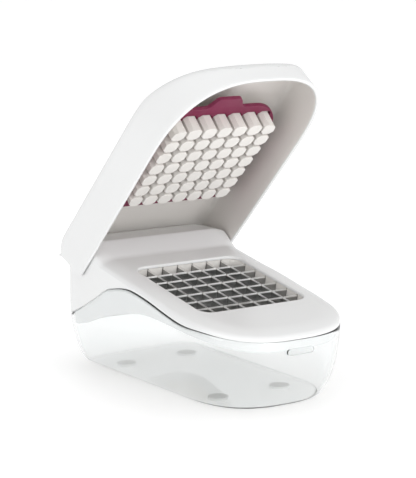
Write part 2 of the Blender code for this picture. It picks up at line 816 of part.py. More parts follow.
def lid_line(y, radius):
    """The lid's straight top line, which leaves the heel's arc on its tangent."""
    return HINGE_Z + radius / math.cos(LID_SLOPE) + (y - HINGE_Y) * math.tan(LID_SLOPE)


def lid_top(inset):
    """Height of the lid's outside, or of its inside when set in by the wall."""
    radius = LID_HEEL_RADIUS - inset
    corner = LID_EDGE_RADIUS - inset
    tangent_y = HINGE_Y - radius * math.sin(LID_SLOPE)
    nose_length = LID_NOSE_CURVE_Y - LID_NOSE_Y - inset

    def top_at(x, y, half):
        share = abs(x) / half if half > 0 else 0.0
        fall = LID_CROWN * (share**2 - 0.5) + rolled_edge(half - abs(x), corner)
        if y > tangent_y:
            height = HINGE_Z + math.sqrt(max(radius**2 - (y - HINGE_Y) ** 2, 0.0))
            return height - fall
        if y < LID_NOSE_CURVE_Y:
            along = (LID_NOSE_CURVE_Y - y) / nose_length
            fall += LID_NOSE_DROP * (0.75 * along**1.4 + 0.25 * along**8)
        return lid_line(y, radius) - fall

    return top_at


def lid_half_width(inset):
    """The lid's plan: straight sides and a round nose."""
    half = LID_HALF_WIDTH - inset
    length = NOSE_START_Y - LID_NOSE_Y - inset

    def width_at(y):
        if y >= NOSE_START_Y:
            return half
        along = min((NOSE_START_Y - y) / length, 1.0)
        return half * (1.0 - along**NOSE_ROUNDNESS) ** (1.0 / NOSE_ROUNDNESS)

    return width_at


def lid_stations(inset):
    length = NOSE_START_Y - LID_NOSE_Y - inset
    stations = nose_stations(NOSE_START_Y, length, NOSE_STEPS + 3)
    radius = LID_HEEL_RADIUS - inset
    turns = [LID_SLOPE * (k / 5 - 1) + (math.pi / 2) * k / 5 for k in range(6)]
    return stations + [HINGE_Y + radius * math.sin(turn) for turn in turns]


def lid_shell(name, inset, floor):
    columns = rolled_columns(LID_EDGE_RADIUS - inset)
    mesh = roofed(name, lid_stations(inset), lid_half_width(inset), columns, lid_top(inset), floor)
    shifted(mesh, (0.0, -HINGE_Y, -HINGE_Z))
    return mesh


def make_lid(lid_frame):
    """The lid: a shell with deep sides, a heel round the hinge and bosses for the pushers."""
    lid = add_part("lid_cover", lid_shell("lid_cover", 0.0, 0.0), WHITE, lid_frame)
    hollow = add_cutter("lid_hollow", lid_shell("lid_hollow", LID_WALL, -BEYOND), lid_frame)
    low = PUSHER_PLATE_LOW + PUSHER_PLATE + TOUCH_GAP
    bosses = [
        cylinder(BOSS_RADIUS, low, low + BEYOND, upright(x, y, LID_DECK), 16)
        for x, y in peg_places()
    ]
    combine(hollow, add_cutter("lid_bosses", joined("lid_bosses", bosses), lid_frame), "DIFFERENCE")
    combine(lid, hollow, "DIFFERENCE")
    rim_y, rim_z = LID_RIM_REAR
    front_y = LID_NOSE_Y - BEYOND
    front_z = rim_z - (rim_y - front_y) * math.tan(LID_RIM_SLOPE)
    inner = LID_HEEL_RADIUS - LID_WALL
    heel = [
        (HINGE_Y + radius * math.cos(LID_HEEL_ANGLE), HINGE_Z + radius * math.sin(LID_HEEL_ANGLE))
        for radius in (inner, inner + BEYOND)
    ]
    cut = [(front_y, front_z), (rim_y, rim_z)] + heel + [(heel[1][0], -BEYOND), (front_y, -BEYOND)]
    to_hinge = HINGE.inverted()
    rim = add_cutter("lid_rim", side_solid("lid_rim", cut, to_hinge), lid_frame)
    combine(lid, rim, "DIFFERENCE")
    depth = PIN_SOCKET_END_GAP
    bores = [
        cylinder(PIN_RADIUS + TOUCH_GAP, -PIN_LENGTH, depth, across(side, PIN_END_X))
        for side in (-1, 1)
    ]
    bore = PEG_RADIUS + PEG_CLEARANCE
    bores += [
        cylinder(bore, low - BOSS_RADIUS, low + PEG_LENGTH, upright(x, y, LID_DECK), 12)
        for x, y in peg_places()
    ]
    combine(lid, add_cutter("lid_bores", joined("lid_bores", bores), lid_frame), "DIFFERENCE")


def cell_places():
    return [(column_x(i), row_y(k)) for i in range(CELLS) for k in range(CELLS)]


def make_pushers(lid_frame):
    """The plate of square pushers, one over each cell."""
    margin = PUSHER_PLATE_MARGIN
    outline = rounded_rectangle(*opening_corners(margin), OPENING_CORNER + margin)
    top = PUSHER_PLATE_LOW + PUSHER_PLATE
    mesh = drawn_solid("pusher_block", [outline], PUSHER_PLATE_LOW, top, LID_DECK)
    block = add_part("pusher_block", mesh, WHITE_SATIN, lid_frame)
    squares = [chamfered_square(PUSHER_SIZE, PUSHER_CHAMFER, place) for place in cell_places()]
    rooted = PUSHER_PLATE_LOW + PUSHER_PLATE / 2
    pushers = add_cutter(
        "pushers", drawn_solid("pushers", squares, -PUSHER_REACH, rooted, LID_DECK), lid_frame
    )
    margin = -PUSHER_EDGE_GAP
    inside = rounded_rectangle(*opening_corners(margin), OPENING_CORNER + margin)
    trim = drawn_solid("pusher_trim", [inside], -BEYOND, BEYOND, LID_DECK)
    combine(pushers, add_cutter("pusher_trim", trim, lid_frame), "INTERSECT")
    pegs = [
        cylinder(PEG_RADIUS, rooted, top + PEG_LENGTH, upright(x, y, LID_DECK), 12)
        for x, y in peg_places()
    ]
    combine(block, pushers, "UNION")
    combine(block, add_cutter("pusher_pegs", joined("pusher_pegs", pegs), lid_frame), "UNION")


def grid_outline():
    """The cleaning grid's edge: round rear corners, swept front corners and a finger tab.

    It is as wide as drops into the container inside the skirt.
    """
    x0, x1 = -GRID_HALF_WIDTH, GRID_HALF_WIDTH
    y0 = row_y(CELLS - 0.5) - GRID_FRONT_MARGIN
    y1 = row_y(-0.5) + GRID_REAR_MARGIN
    radius = GRID_REAR_CORNER
    rear = arc((x1 - radius, y1 - radius), radius, 0.0, math.pi / 2, 4)
    rear += arc((x0 + radius, y1 - radius), radius, math.pi / 2, math.pi, 4)
    turns = [math.pi / 2 * k / 6 for k in range(7)]
    sweep = [
        (GRID_SWEEP_WIDTH * (1 - math.cos(turn)), GRID_SWEEP_LENGTH * (1 - math.sin(turn)))
        for turn in turns
    ]
    front_left = [(x0 + x, y0 + y) for x, y in sweep]
    front_right = [(x1 - x, y0 + y) for x, y in reversed(sweep)]
    tab_y = y0 - GRID_TAB_LENGTH
    half = GRID_TAB_HALF_WIDTH
    tab = [(-half - GRID_TAB_SLANT, y0), (-half, tab_y), (half, tab_y), (half + GRID_TAB_SLANT, y0)]
    return rear + front_left + tab + front_right


def make_cleaning_grid(lid_frame):
    """The coloured grid round the pushers' roots, which is drawn off to clear them."""
    hole = PUSHER_SIZE + 2 * GRID_HOLE_GAP
    holes = [chamfered_square(hole, PUSHER_CHAMFER, place) for place in cell_places()]
    top = PUSHER_PLATE_LOW - TOUCH_GAP
    mesh = drawn_solid("cleaning_grid", [grid_outline()] + holes, top - GRID_THICKNESS, top, LID_DECK)
    add_part("cleaning_grid", mesh, MAROON, lid_frame)


def make_lid_frame():
    """An empty on the hinge axis that carries the lid and stands it open."""
    frame = bpy.data.objects.new("lid_hinge_axis", None)
    parts.objects.link(frame)
    frame.location = Vector((0.0, HINGE_Y, HINGE_Z))
    frame.rotation_euler.x = -OPEN_ANGLE
    return frame


def shade():
    """Round faces read as smooth, with their real edges kept."""
    for part in parts.objects:
        if part.type == "MESH":
            part.data.shade_smooth()
            part.data.set_sharp_from_angle(angle=math.radians(35.0))


clear_scene()
parts = collection("vegetable_chopper")
cutters = collection("cutters")
make_container()
make_feet()
make_finger_tab()
make_body()
make_frame()
make_blades()
make_frame_screws()
make_pins()
lid_hinge_axis = make_lid_frame()
make_lid(lid_hinge_axis)
make_pushers(lid_hinge_axis)
make_cleaning_grid(lid_hinge_axis)
shade()
bpy.context.view_layer.update()
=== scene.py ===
# %% [markdown]
# # A press-down vegetable chopper
#
# The chopper has a clear container, a white body with a square grid of blades, and a deep lid
# whose forty-nine pushers press food through the grid. A CAD model of it already exists, so
# this lesson loads that model as a fixed frame and builds the visible surfaces over it. Every
# piece below is made in metres, straight in the place where it belongs, because then nothing
# has to be moved or fitted afterwards. Four measures are shared by many cells: where the lid
# turns, how much the deck slopes, a quarter of a turn, and the gap between two fitted parts.

# %% Load the frame
import math

import bmesh
import bpy
from mathutils import Matrix, Vector
from mathutils.kdtree import KDTree


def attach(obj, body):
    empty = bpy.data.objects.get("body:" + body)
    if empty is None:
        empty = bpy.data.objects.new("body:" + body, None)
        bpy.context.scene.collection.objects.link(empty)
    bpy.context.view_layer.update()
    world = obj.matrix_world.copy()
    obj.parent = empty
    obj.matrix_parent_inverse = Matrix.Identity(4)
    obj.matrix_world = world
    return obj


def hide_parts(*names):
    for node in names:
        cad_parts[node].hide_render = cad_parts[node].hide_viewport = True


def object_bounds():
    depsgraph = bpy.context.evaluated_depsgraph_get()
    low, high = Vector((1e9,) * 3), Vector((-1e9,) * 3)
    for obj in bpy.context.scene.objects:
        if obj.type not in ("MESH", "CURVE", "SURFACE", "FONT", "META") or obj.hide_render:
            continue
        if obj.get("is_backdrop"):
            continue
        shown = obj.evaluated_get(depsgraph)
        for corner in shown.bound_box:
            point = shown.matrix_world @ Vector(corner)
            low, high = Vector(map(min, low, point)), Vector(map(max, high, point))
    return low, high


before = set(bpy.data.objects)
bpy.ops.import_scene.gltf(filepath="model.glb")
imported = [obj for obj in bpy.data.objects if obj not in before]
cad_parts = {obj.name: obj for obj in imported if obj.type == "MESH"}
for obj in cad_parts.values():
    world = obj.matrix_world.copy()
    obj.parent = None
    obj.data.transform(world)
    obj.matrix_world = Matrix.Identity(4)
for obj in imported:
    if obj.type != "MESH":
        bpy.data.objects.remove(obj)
cad_box = [list(corner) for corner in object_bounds()]

HINGE = Vector((0.0, 0.086, 0.0875))
DECK_TILT = math.radians(11.0)
QUARTER_TURN = math.pi / 2
GAP = 0.0003


def new_object(name, data):
    """A new object, linked to the scene."""
    made = bpy.data.objects.new(name, data)
    bpy.context.scene.collection.objects.link(made)
    return made


# %% [markdown]
# ## The camera first
#
# The view decides how much detail each piece needs, so the camera comes before the pieces.
# Its place was worked out from the straight edges of the object, and it is given here as a
# position and three axes: to the right, up, and backwards out of the lens. A long lens, as in
# product pictures, keeps the lines nearly parallel.

# %% Camera
VIEW_PLACE = (-0.6847, -0.9818, 0.3102)
VIEW_RIGHT = (0.8202, -0.5721, 0.0)
VIEW_UP = (0.0980, 0.1405, 0.9852)
VIEW_BACK = (-0.5637, -0.8080, 0.1713)
LENS = 129.6
SEES_TO = 60.0

camera = new_object("camera", bpy.data.cameras.new("camera"))
turned = Matrix((VIEW_RIGHT, VIEW_UP, VIEW_BACK)).transposed().to_4x4()
camera.matrix_world = Matrix.Translation(VIEW_PLACE) @ turned
camera.data.lens = LENS
camera.data.clip_end = SEES_TO
bpy.context.scene.camera = camera
print("camera at", VIEW_PLACE, "with a", LENS, "mm lens")

# %% [markdown]
# ## Floor and light
#
# A white product on white needs large soft lights, or its edges vanish. The floor is a wide
# pale sheet, marked as stage so that it isn't taken for a part. A bright even sky lights
# everything, and three large panels, one of them low in front, give the surfaces their
# gentle turn from light to shade.

# %% Stage and lights
FLOOR_REACH = 14.0
SKY = (1.0, 1.0, 1.0, 1.0)
SKY_STRENGTH = 0.8
PANELS = (
    # name, place, size, watts
    ("key_panel", (0.7, -1.1, 1.7), 1.2, 1.0),
    ("side_panel", (-1.8, -0.3, 0.55), 0.9, 5.5),
    ("front_panel", (0.2, -1.75, 0.35), 0.65, 11.0),
)
LOOK_AT = Vector((0.0, 0.0, 0.08))


def sheet_mesh(name, reach):
    """A flat square sheet, cut into a few tiles."""
    shape = bmesh.new()
    bmesh.ops.create_grid(shape, x_segments=8, y_segments=8, size=reach)
    mesh = bpy.data.meshes.new(name)
    shape.to_mesh(mesh)
    shape.free()
    return mesh


floor = new_object("floor", sheet_mesh("floor", FLOOR_REACH))
floor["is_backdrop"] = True

world = bpy.data.worlds.new("sky")
world.use_nodes = True
world.node_tree.nodes["Background"].inputs["Color"].default_value = SKY
world.node_tree.nodes["Background"].inputs["Strength"].default_value = SKY_STRENGTH
bpy.context.scene.world = world
for name, place, size, watts in PANELS:
    lamp = bpy.data.lights.new(name, "AREA")
    lamp.shape = "DISK"
    lamp.size = size
    lamp.energy = watts
    panel = new_object(name, lamp)
    panel.location = place
    panel.rotation_euler = (LOOK_AT - Vector(place)).to_track_quat("-Z", "Y").to_euler()
bpy.context.scene.view_settings.view_transform = "Standard"
print("lights:", ", ".join(panel[0] for panel in PANELS))

# %% [markdown]
# ## Writing materials as arithmetic
#
# A material is a small network of nodes, and wiring it by hand hides what it means. Here one
# class wraps a node's output, so that adding or multiplying two values adds the Math node
# that does it. A second class is the bench that a material is made on: its method add makes
# any node, with its settings and the values of its sockets, and the others are short names
# for the nodes that every finish needs.

# %% Shader helpers
def add_node(tree, kind, settings, inputs):
    """A new node, with its settings made and each socket linked or filled."""
    node = tree.nodes.new(kind)
    for name, setting in settings.items():
        setattr(node, name, setting)
    for name, given in inputs.items():
        if isinstance(given, bpy.types.NodeSocket):
            tree.links.new(given, node.inputs[name])
        else:
            node.inputs[name].default_value = given
    return node


class Value:
    """A node's output that can be used in plain arithmetic."""

    def __init__(self, bench, socket):
        self.bench = bench
        self.socket = socket

    def calculate(self, operation, first, second):
        return self.bench.add("ShaderNodeMath", {"operation": operation}, {0: first, 1: second})

    def __add__(self, other):
        return self.calculate("ADD", self, other)

    def __radd__(self, other):
        return self.calculate("ADD", other, self)

    def __rmul__(self, other):
        return self.calculate("MULTIPLY", other, self)


class Bench:
    """Where one material's nodes are put together."""

    def __init__(self, name):
        self.material = bpy.data.materials.new(name)
        self.material.use_nodes = True
        self.tree = self.material.node_tree
        self.tree.nodes.clear()

    def add(self, kind, settings=None, inputs=None, output=0):
        sockets = {
            name: given.socket if isinstance(given, Value) else given
            for name, given in (inputs or {}).items()
        }
        return Value(self, add_node(self.tree, kind, settings or {}, sockets).outputs[output])

    def place(self, stretch=(1.0, 1.0, 1.0)):
        """Where a point is on the piece, in metres, stretched along its axes."""
        here = self.add("ShaderNodeTexCoord", output="Object")
        return self.add("ShaderNodeMapping", {}, {"Vector": here, "Scale": stretch})

    def noise(self, scale, detail=2.0, stretch=(1.0, 1.0, 1.0)):
        """Soft random values, with about one patch in each 1/scale metres."""
        inputs = {"Vector": self.place(stretch), "Scale": scale, "Detail": detail}
        return self.add("ShaderNodeTexNoise", {}, inputs)

    def blend(self, amount, first, second):
        """A colour between two colours."""
        inputs = {0: amount, 6: first, 7: second}
        return self.add("ShaderNodeMix", {"data_type": "RGBA"}, inputs, output=2)

    def bump(self, height, depth):
        """A surface normal that follows a height, as deep as depth in metres."""
        return self.add("ShaderNodeBump", {}, {"Height": height, "Distance": depth}, output="Normal")

    def plastic(self, **inputs):
        """A Principled shader, its sockets named with underscores for spaces."""
        named = {name.replace("_", " "): given for name, given in inputs.items()}
        return self.add("ShaderNodeBsdfPrincipled", {}, named)

    def finish(self, surface):
        end = self.tree.nodes.new("ShaderNodeOutputMaterial")
        self.tree.links.new(surface.socket, end.inputs["Surface"])
        return self.material


def colour(red, green, blue):
    return (red, green, blue, 1.0)


print("shader helpers are ready")

# %% [markdown]
# ## White plastics
#
# The shell is moulded in a bright, glossy white. Real moulded plastic is never perfectly even:
# its tone and gloss vary a little from place to place and the surface has a faint waviness.
# Three soft noises give that, one for the tone, one for the gloss and one for a very small
# bump. The inner parts come from a tool with a finer texture, so they are less glossy; their
# colour is also a little darker and warmer, which is painted shade for the shade inside the lid.

# %% White finishes
GLOSS_CHANGE = 0.03


def white_finish(name, light, dark, gloss, grain, depth):
    """A moulded white plastic: its two tones, its roughness, and its grain's size and depth."""
    bench = Bench(name)
    patches = bench.noise(35.0)
    fine = bench.noise(grain, 3.0)
    return bench.finish(bench.plastic(
        Base_Color=bench.blend(patches, light, dark),
        Roughness=gloss + GLOSS_CHANGE * bench.noise(90.0),
        IOR=1.5,
        Normal=bench.bump(fine, depth),
    ))


gloss_white = white_finish(
    "gloss_white", colour(0.78, 0.785, 0.785), colour(0.765, 0.77, 0.77), 0.24, 160.0, 0.000006)
# Painted shade: the satin copy is darker and warmer than the gloss white, for the shade inside the lid;
# its lower gloss and finer grain are real.
satin_white_painted_shade = white_finish(
    "satin_white_painted_shade", colour(0.765, 0.74, 0.71), colour(0.74, 0.715, 0.685), 0.42, 1400.0, 0.00003)
print("white finishes:", gloss_white.name, satin_white_painted_shade.name)

# %% [markdown]
# ## Clear plastic
#
# The container is a clear, polished plastic about two millimetres thick. Glass and clear
# plastic both bend light, so the shader lets light through and bends it as such a wall does.
# Light on its way to or from a matt surface is let straight through by the second shader,
# because a thin wall barely dims it. That keeps the shadow under the container soft and free
# of bright specks. Fine scuffs make the gloss uneven.

# %% Clear finish
def clear_finish(name):
    bench = Bench(name)
    scuffs = bench.noise(420.0, 4.0)
    wall = bench.plastic(
        Base_Color=bench.blend(bench.noise(30.0), colour(0.955, 0.97, 0.97), colour(0.975, 0.98, 0.98)),
        Roughness=0.02 + 0.05 * scuffs,
        IOR=1.46,
        Transmission_Weight=1.0,
    )
    straight = bench.add("ShaderNodeBsdfTransparent", {}, {"Color": colour(0.97, 0.975, 0.975)})
    to_lamp = bench.add("ShaderNodeLightPath", output="Is Shadow Ray")
    scattered = bench.add("ShaderNodeLightPath", output="Is Diffuse Ray")
    passing = to_lamp + scattered
    return bench.finish(bench.add("ShaderNodeMixShader", {}, {0: passing, 1: wall, 2: straight}))


clear_plastic = clear_finish("clear_plastic")
print("clear finish:", clear_plastic.name)

# %% [markdown]
# ## Steel, maroon plastic and rubber
#
# Blade strip is rolled, so its sides carry faint lines along their length. A noise stretched
# in one direction draws them, in the gloss and in a tiny bump. The ground top edge is painted
# a brighter steel, partly its real finish and partly painted highlight. The maroon grid is a
# satin moulding whose colour deepens in patches, and the feet are a soft matte rubber.

# %% Other finishes
GROUND_FROM = 0.0015
GROUND_BLUR = 0.00015
FLOOR_GLOW = 0.22


def steel_finish(name, tone, gloss, stretch, highlight_mask=None):
    """A satin steel whose fine lines run along the axis that isn't stretched.

    The last argument is the mask of a brighter part, made on this bench: on the blades it is the ground
    edge, whose brighter colour is partly its real finish and partly painted highlight.
    """
    bench = Bench(name)
    lines = bench.noise(1.0, 3.0, stretch)
    light = colour(tone, tone, tone * 0.985)
    dark = colour(tone * 0.72, tone * 0.72, tone * 0.71)
    surface = bench.blend(lines, light, dark)
    if highlight_mask:
        # Painted highlight: the ground edge gets a brighter steel colour, partly its real finish and
        # partly the light that its top catches.
        surface = bench.blend(highlight_mask(bench), surface, colour(0.86, 0.86, 0.85))
    return bench.finish(bench.plastic(
        Base_Color=surface,
        Roughness=gloss + 0.22 * lines,
        Metallic=1.0,
        Normal=bench.bump(lines, 0.00002),
    ))


def ground_edge_highlight(bench):
    """The top of a blade: how far a point is over the line where the grinding starts. It masks the
    ground edge's brighter colour, partly its real finish and partly painted highlight.
    """
    up = Vector((0.0, -math.sin(DECK_TILT), math.cos(DECK_TILT)))
    here = bench.add("ShaderNodeTexCoord", output="Object")
    height = bench.add("ShaderNodeVectorMath", {"operation": "DOT_PRODUCT"}, {0: here, 1: up}, output=1)
    start = up.dot(HINGE) + GROUND_FROM
    limits = {"Value": height, "From Min": start - GROUND_BLUR, "From Max": start + GROUND_BLUR}
    return bench.add("ShaderNodeMapRange", {}, limits)


def maroon_finish(name):
    bench = Bench(name)
    patches = bench.noise(60.0)
    return bench.finish(bench.plastic(
        Base_Color=bench.blend(patches, colour(0.19, 0.008, 0.055), colour(0.15, 0.006, 0.042)),
        Roughness=0.34 + 0.12 * bench.noise(300.0),
        Normal=bench.bump(bench.noise(1800.0, 3.0), 0.00003),
    ))


def rubber_finish(name):
    bench = Bench(name)
    grain = bench.noise(900.0, 4.0)
    return bench.finish(bench.plastic(
        Base_Color=bench.blend(grain, colour(0.72, 0.72, 0.71), colour(0.62, 0.62, 0.61)),
        Roughness=0.65 + 0.2 * grain,
        Normal=bench.bump(grain, 0.0001),
    ))


def floor_finish(name):
    """The stage's floor, which glows faintly so that it stays white under the shadow."""
    bench = Bench(name)
    faint = bench.noise(1.5)
    return bench.finish(bench.plastic(
        Base_Color=bench.blend(faint, colour(0.99, 0.99, 0.99), colour(0.985, 0.985, 0.985)),
        Roughness=0.55 + 0.1 * faint,
        Emission_Color=colour(1.0, 1.0, 1.0),
        Emission_Strength=FLOOR_GLOW,
    ))


long_steel = steel_finish("long_steel", 0.44, 0.20, (2200.0, 60.0, 2200.0), ground_edge_highlight)
cross_steel = steel_finish("cross_steel", 0.44, 0.20, (60.0, 2200.0, 2200.0), ground_edge_highlight)
pin_steel = steel_finish("pin_steel", 0.60, 0.22, (2600.0, 300.0, 300.0))
maroon = maroon_finish("maroon_satin")
rubber = rubber_finish("foot_rubber")
floor.data.materials.append(floor_finish("pale_floor"))
print("other finishes:", long_steel.name, cross_steel.name, pin_steel.name, maroon.name, rubber.name)

# %% [markdown]
# ## Shared shapes
#
# The body, the container and the lid share one plan: straight sides, a rear with round
# corners, and a nose whose outline is a superellipse, rounder than a circle and softer than a
# square. One function gives that plan at any inset. The container meets the body on a line
# that swings up along the side, so a second helper reads a smooth curve through a few points.

# %% Plan and curves
HALF_WIDTH = 0.060
NOSE_START = -0.037
NOSE_LENGTH = 0.070
NOSE_POWER = 2.75
NOSE_TURN_POWER = 2 / NOSE_POWER
REAR = 0.108
REAR_CORNER = 0.024
OPEN_ANGLE = math.radians(54.0)

SEAM = (
    (-0.125, 0.048), (-0.107, 0.0500), (-0.0755, 0.0552), (-0.055, 0.0573),
    (-0.0345, 0.0617), (-0.013, 0.0670), (0.009, 0.0704), (0.0245, 0.0693),
    (0.041, 0.0650), (0.055, 0.0570), (0.080, 0.0445), (0.100, 0.0375), (0.125, 0.034),
)
SKIRT_EDGE = (
    (-0.125, 0.040), (-0.107, 0.0420), (-0.0755, 0.0489), (-0.026, 0.0548),
    (0.0025, 0.0545), (0.0435, 0.0455), (0.075, 0.0350), (0.125, 0.026),
)

DECK = Matrix.Translation(HINGE) @ Matrix.Rotation(DECK_TILT, 4, "X")
LID = Matrix.Translation(HINGE) @ Matrix.Rotation(-OPEN_ANGLE, 4, "X")
LID_DECK = LID @ Matrix.Rotation(DECK_TILT, 4, "X")


def on_line(points, y):
    """Height of a smooth curve through points, at a place along it."""
    y = min(max(y, points[0][0]), points[-1][0])
    i = max(k for k in range(len(points) - 1) if points[k][0] <= y)
    slopes = []
    for k in (i, i + 1):
        before, after = points[max(k - 1, 0)], points[min(k + 1, len(points) - 1)]
        slopes.append((after[1] - before[1]) / (after[0] - before[0]))
    (y0, z0), (y1, z1) = points[i], points[i + 1]
    run = y1 - y0
    t = (y - y0) / run
    height = (2 * t**3 - 3 * t**2 + 1) * z0 + (3 * t**2 - 2 * t**3) * z1
    return height + (t**3 - 2 * t**2 + t) * run * slopes[0] + (t**3 - t**2) * run * slopes[1]


def mirrored(points):
    """The same points on the left, in reverse order."""
    return [(-x, *rest) for x, *rest in reversed(points)]


def plan(grow, nose=36, side=26, corner=12, rear=8):
    """The body's outline once round, grown outwards, always with the same count of points."""
    half, length, radius = HALF_WIDTH + grow, NOSE_LENGTH + grow, REAR_CORNER + grow
    right = []
    for k in range(nose + 1):
        turn = QUARTER_TURN * k / nose
        x = half * max(math.sin(turn), 0.0) ** NOSE_TURN_POWER
        right.append((x, NOSE_START - length * max(math.cos(turn), 0.0) ** NOSE_TURN_POWER))
    straight = REAR - REAR_CORNER - NOSE_START
    right += [(half, NOSE_START + straight * k / side) for k in range(1, side + 1)]
    middle = (HALF_WIDTH - REAR_CORNER, REAR - REAR_CORNER)
    for k in range(1, corner + 1):
        turn = QUARTER_TURN * k / corner
        right.append((middle[0] + radius * math.cos(turn), middle[1] + radius * math.sin(turn)))
    right += [(middle[0] * (1 - k / rear), REAR + grow) for k in range(1, rear)]
    return right + [(0.0, REAR + grow)] + mirrored(right[1:])


OUTLINE_POINTS = len(plan(0.0))
print("outline points:", OUTLINE_POINTS)

# %% [markdown]
# ## Mesh helpers
#
# Nearly every piece here is a skin: rows of points joined by four-sided faces. One helper
# builds a skin from rows, another closes it, welds it and points its faces outwards, and a
# third finishes a piece: it attaches it to the body that it moves with, fills its material
# slots with its finishes, and hides the CAD nodes that it stands for.

# %% Mesh helpers
WELD = 0.000002


def skin(shape, rows, ring=False, group=0):
    """Join rows of points by faces. A ring also joins each row's end to its start."""
    made = [[shape.verts.new(point) for point in row] for row in rows]
    for near, far in zip(made, made[1:]):
        for k in range(len(near) - (0 if ring else 1)):
            after = (k + 1) % len(near)
            face = shape.faces.new((near[k], near[after], far[after], far[k]))
            face.material_index = group
    return made


def cap(shape, row, group=0):
    face = shape.faces.new(row)
    face.material_index = group


def cap_ends(shape, made):
    """Close a ring's two ends with one face each."""
    cap(shape, list(reversed(made[0])))
    cap(shape, made[-1])


def closed_mesh(name, shape, matrix=None):
    """Weld the skins into one closed mesh, place it and point its faces outwards."""
    bmesh.ops.remove_doubles(shape, verts=shape.verts, dist=WELD)
    bmesh.ops.dissolve_degenerate(shape, edges=shape.edges, dist=WELD / 2)
    if matrix is not None:
        bmesh.ops.transform(shape, matrix=matrix, verts=shape.verts)
    bmesh.ops.recalc_face_normals(shape, faces=shape.faces)
    mesh = bpy.data.meshes.new(name)
    open_edges = sum(not edge.is_manifold for edge in shape.edges)
    shape.to_mesh(mesh)
    shape.free()
    print(name, "faces:", len(mesh.polygons), "open edges:", open_edges)
    return mesh


def add_piece(name, mesh, finishes, body, nodes=(), sharp=35.0):
    """A finished piece, riding on its body and standing for its CAD nodes."""
    piece = new_object(name, mesh)
    groups = [face.material_index for face in mesh.polygons]
    mesh.materials.clear()
    for finish in finishes:
        mesh.materials.append(finish)
    mesh.polygons.foreach_set("material_index", groups)
    mesh.shade_smooth()
    mesh.set_sharp_from_angle(angle=math.radians(sharp))
    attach(piece, body)
    if nodes:
        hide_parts(*nodes)


print("mesh helpers are ready")

# %% [markdown]
# ## The clear container
#
# On the real object this is one moulding: a flat floor that curves up into walls, with a rim
# that follows the seam. A revolved shape can't do it, since the plan isn't round and the rim
# isn't level. So each point of the outline gets its own upright profile, all with the same
# count of points, and neighbouring profiles are joined. The profile itself is a quarter of a
# superellipse, which runs flat out of the floor and ends upright.

# %% Container
FLOOR_LOW = 0.002
FLOOR_TOP = 0.0042
WALL = 0.002
TAPER_TOP = 0.050
TAPER_DEPTH = 0.016
TAPER_POWER = 2 / 1.9
RIM_ROUND = 0.0006
RIM_STEPS = 6
WALL_STEPS = 24
WALL_RISE = 0.05
SEARCH_ROUNDS = 5
FLOOR_SHARES = (0.995, 0.75, 0.45, 0.15, 0.0)
PLANS = {}


def wall_point(v):
    """Inset and height of the container's wall, from its floor (0) upwards."""
    if v >= QUARTER_TURN:
        return 0.0, TAPER_TOP + (v - QUARTER_TURN) * WALL_RISE
    inset = TAPER_DEPTH * (1 - max(math.sin(v), 0.0) ** TAPER_POWER)
    return inset, TAPER_TOP - (TAPER_TOP - FLOOR_LOW) * math.cos(v) ** TAPER_POWER


def wall_place(z):
    """The v at which the wall has risen to a height."""
    if z >= TAPER_TOP:
        return QUARTER_TURN + (z - TAPER_TOP) / WALL_RISE
    return math.acos(((TAPER_TOP - z) / (TAPER_TOP - FLOOR_LOW)) ** (1 / TAPER_POWER))


def taper(z):
    return wall_point(wall_place(z))[0] if z < TAPER_TOP else 0.0


def plan_point(k, inset):
    """One point of the outline at an inset. The outline of each inset is worked out once."""
    key = round(inset, 6)
    if key not in PLANS:
        PLANS[key] = plan(-inset)
    return PLANS[key][k]


def line_heights(inset, line, lift):
    """Heights at which the profiles meet a curve drawn on the side, such as the seam."""
    heights = []
    for k in range(OUTLINE_POINTS):
        z = TAPER_TOP
        for _ in range(SEARCH_ROUNDS):
            z = on_line(line, plan_point(k, inset + taper(z))[1]) + lift
        heights.append(z)
    return heights


def wall_rows(inset, low, tops):
    """Rows of a wall, set in by inset, from one height up to its tops."""
    rows = []
    for s in range(WALL_STEPS + 1):
        row = []
        for k, top in enumerate(tops):
            start, end = wall_place(low), wall_place(top)
            draw, z = wall_point(start + (end - start) * s / WALL_STEPS)
            row.append((*plan_point(k, inset + draw), z))
        rows.append(row)
    return rows


def shrinking_rows(row, shares):
    """Rows that shrink towards the middle of a flat row, down to one point."""
    middle = (0.0, (max(p[1] for p in row) + min(p[1] for p in row)) / 2)
    return [
        [(x * s, middle[1] + (y - middle[1]) * s, z) for x, y, z in row] for s in shares
    ]


tops = line_heights(0.0, SEAM, -RIM_ROUND)
outside = wall_rows(0.0, FLOOR_LOW, tops)
inside = wall_rows(WALL, FLOOR_TOP, line_heights(WALL, SEAM, -RIM_ROUND))
rim = []
for step in range(1, RIM_STEPS):
    turn = math.pi * step / RIM_STEPS
    row = []
    for k, top in enumerate(tops):
        inset = WALL * (1 - math.cos(turn)) / 2
        row.append((*plan_point(k, inset + taper(top)), top + RIM_ROUND * math.sin(turn)))
    rim.append(row)
rows = list(reversed(shrinking_rows(outside[0], FLOOR_SHARES))) + outside + rim
rows += list(reversed(inside)) + shrinking_rows(inside[0], FLOOR_SHARES)
shape = bmesh.new()
skin(shape, rows, ring=True)
add_piece(
    "container_shell", closed_mesh("container_shell", shape), [clear_plastic],
    "container", ["container"])

# %% [markdown]
# ## The skirt
#
# A white band hangs from the body and plugs into the container, and it is what shows white
# through the clear wall. It follows the same wall profile, set in by the wall and a running
# gap, between two curves: the seam above and its own edge below.

# %% Skirt
SKIRT_INSET = 0.0024
SKIRT_WALL = 0.0018
SEAM_GAP = 0.0005
SKIRT_ROUND = 0.0007
SKIRT_STEPS = 8
SKIRT_EDGE_STEPS = 4


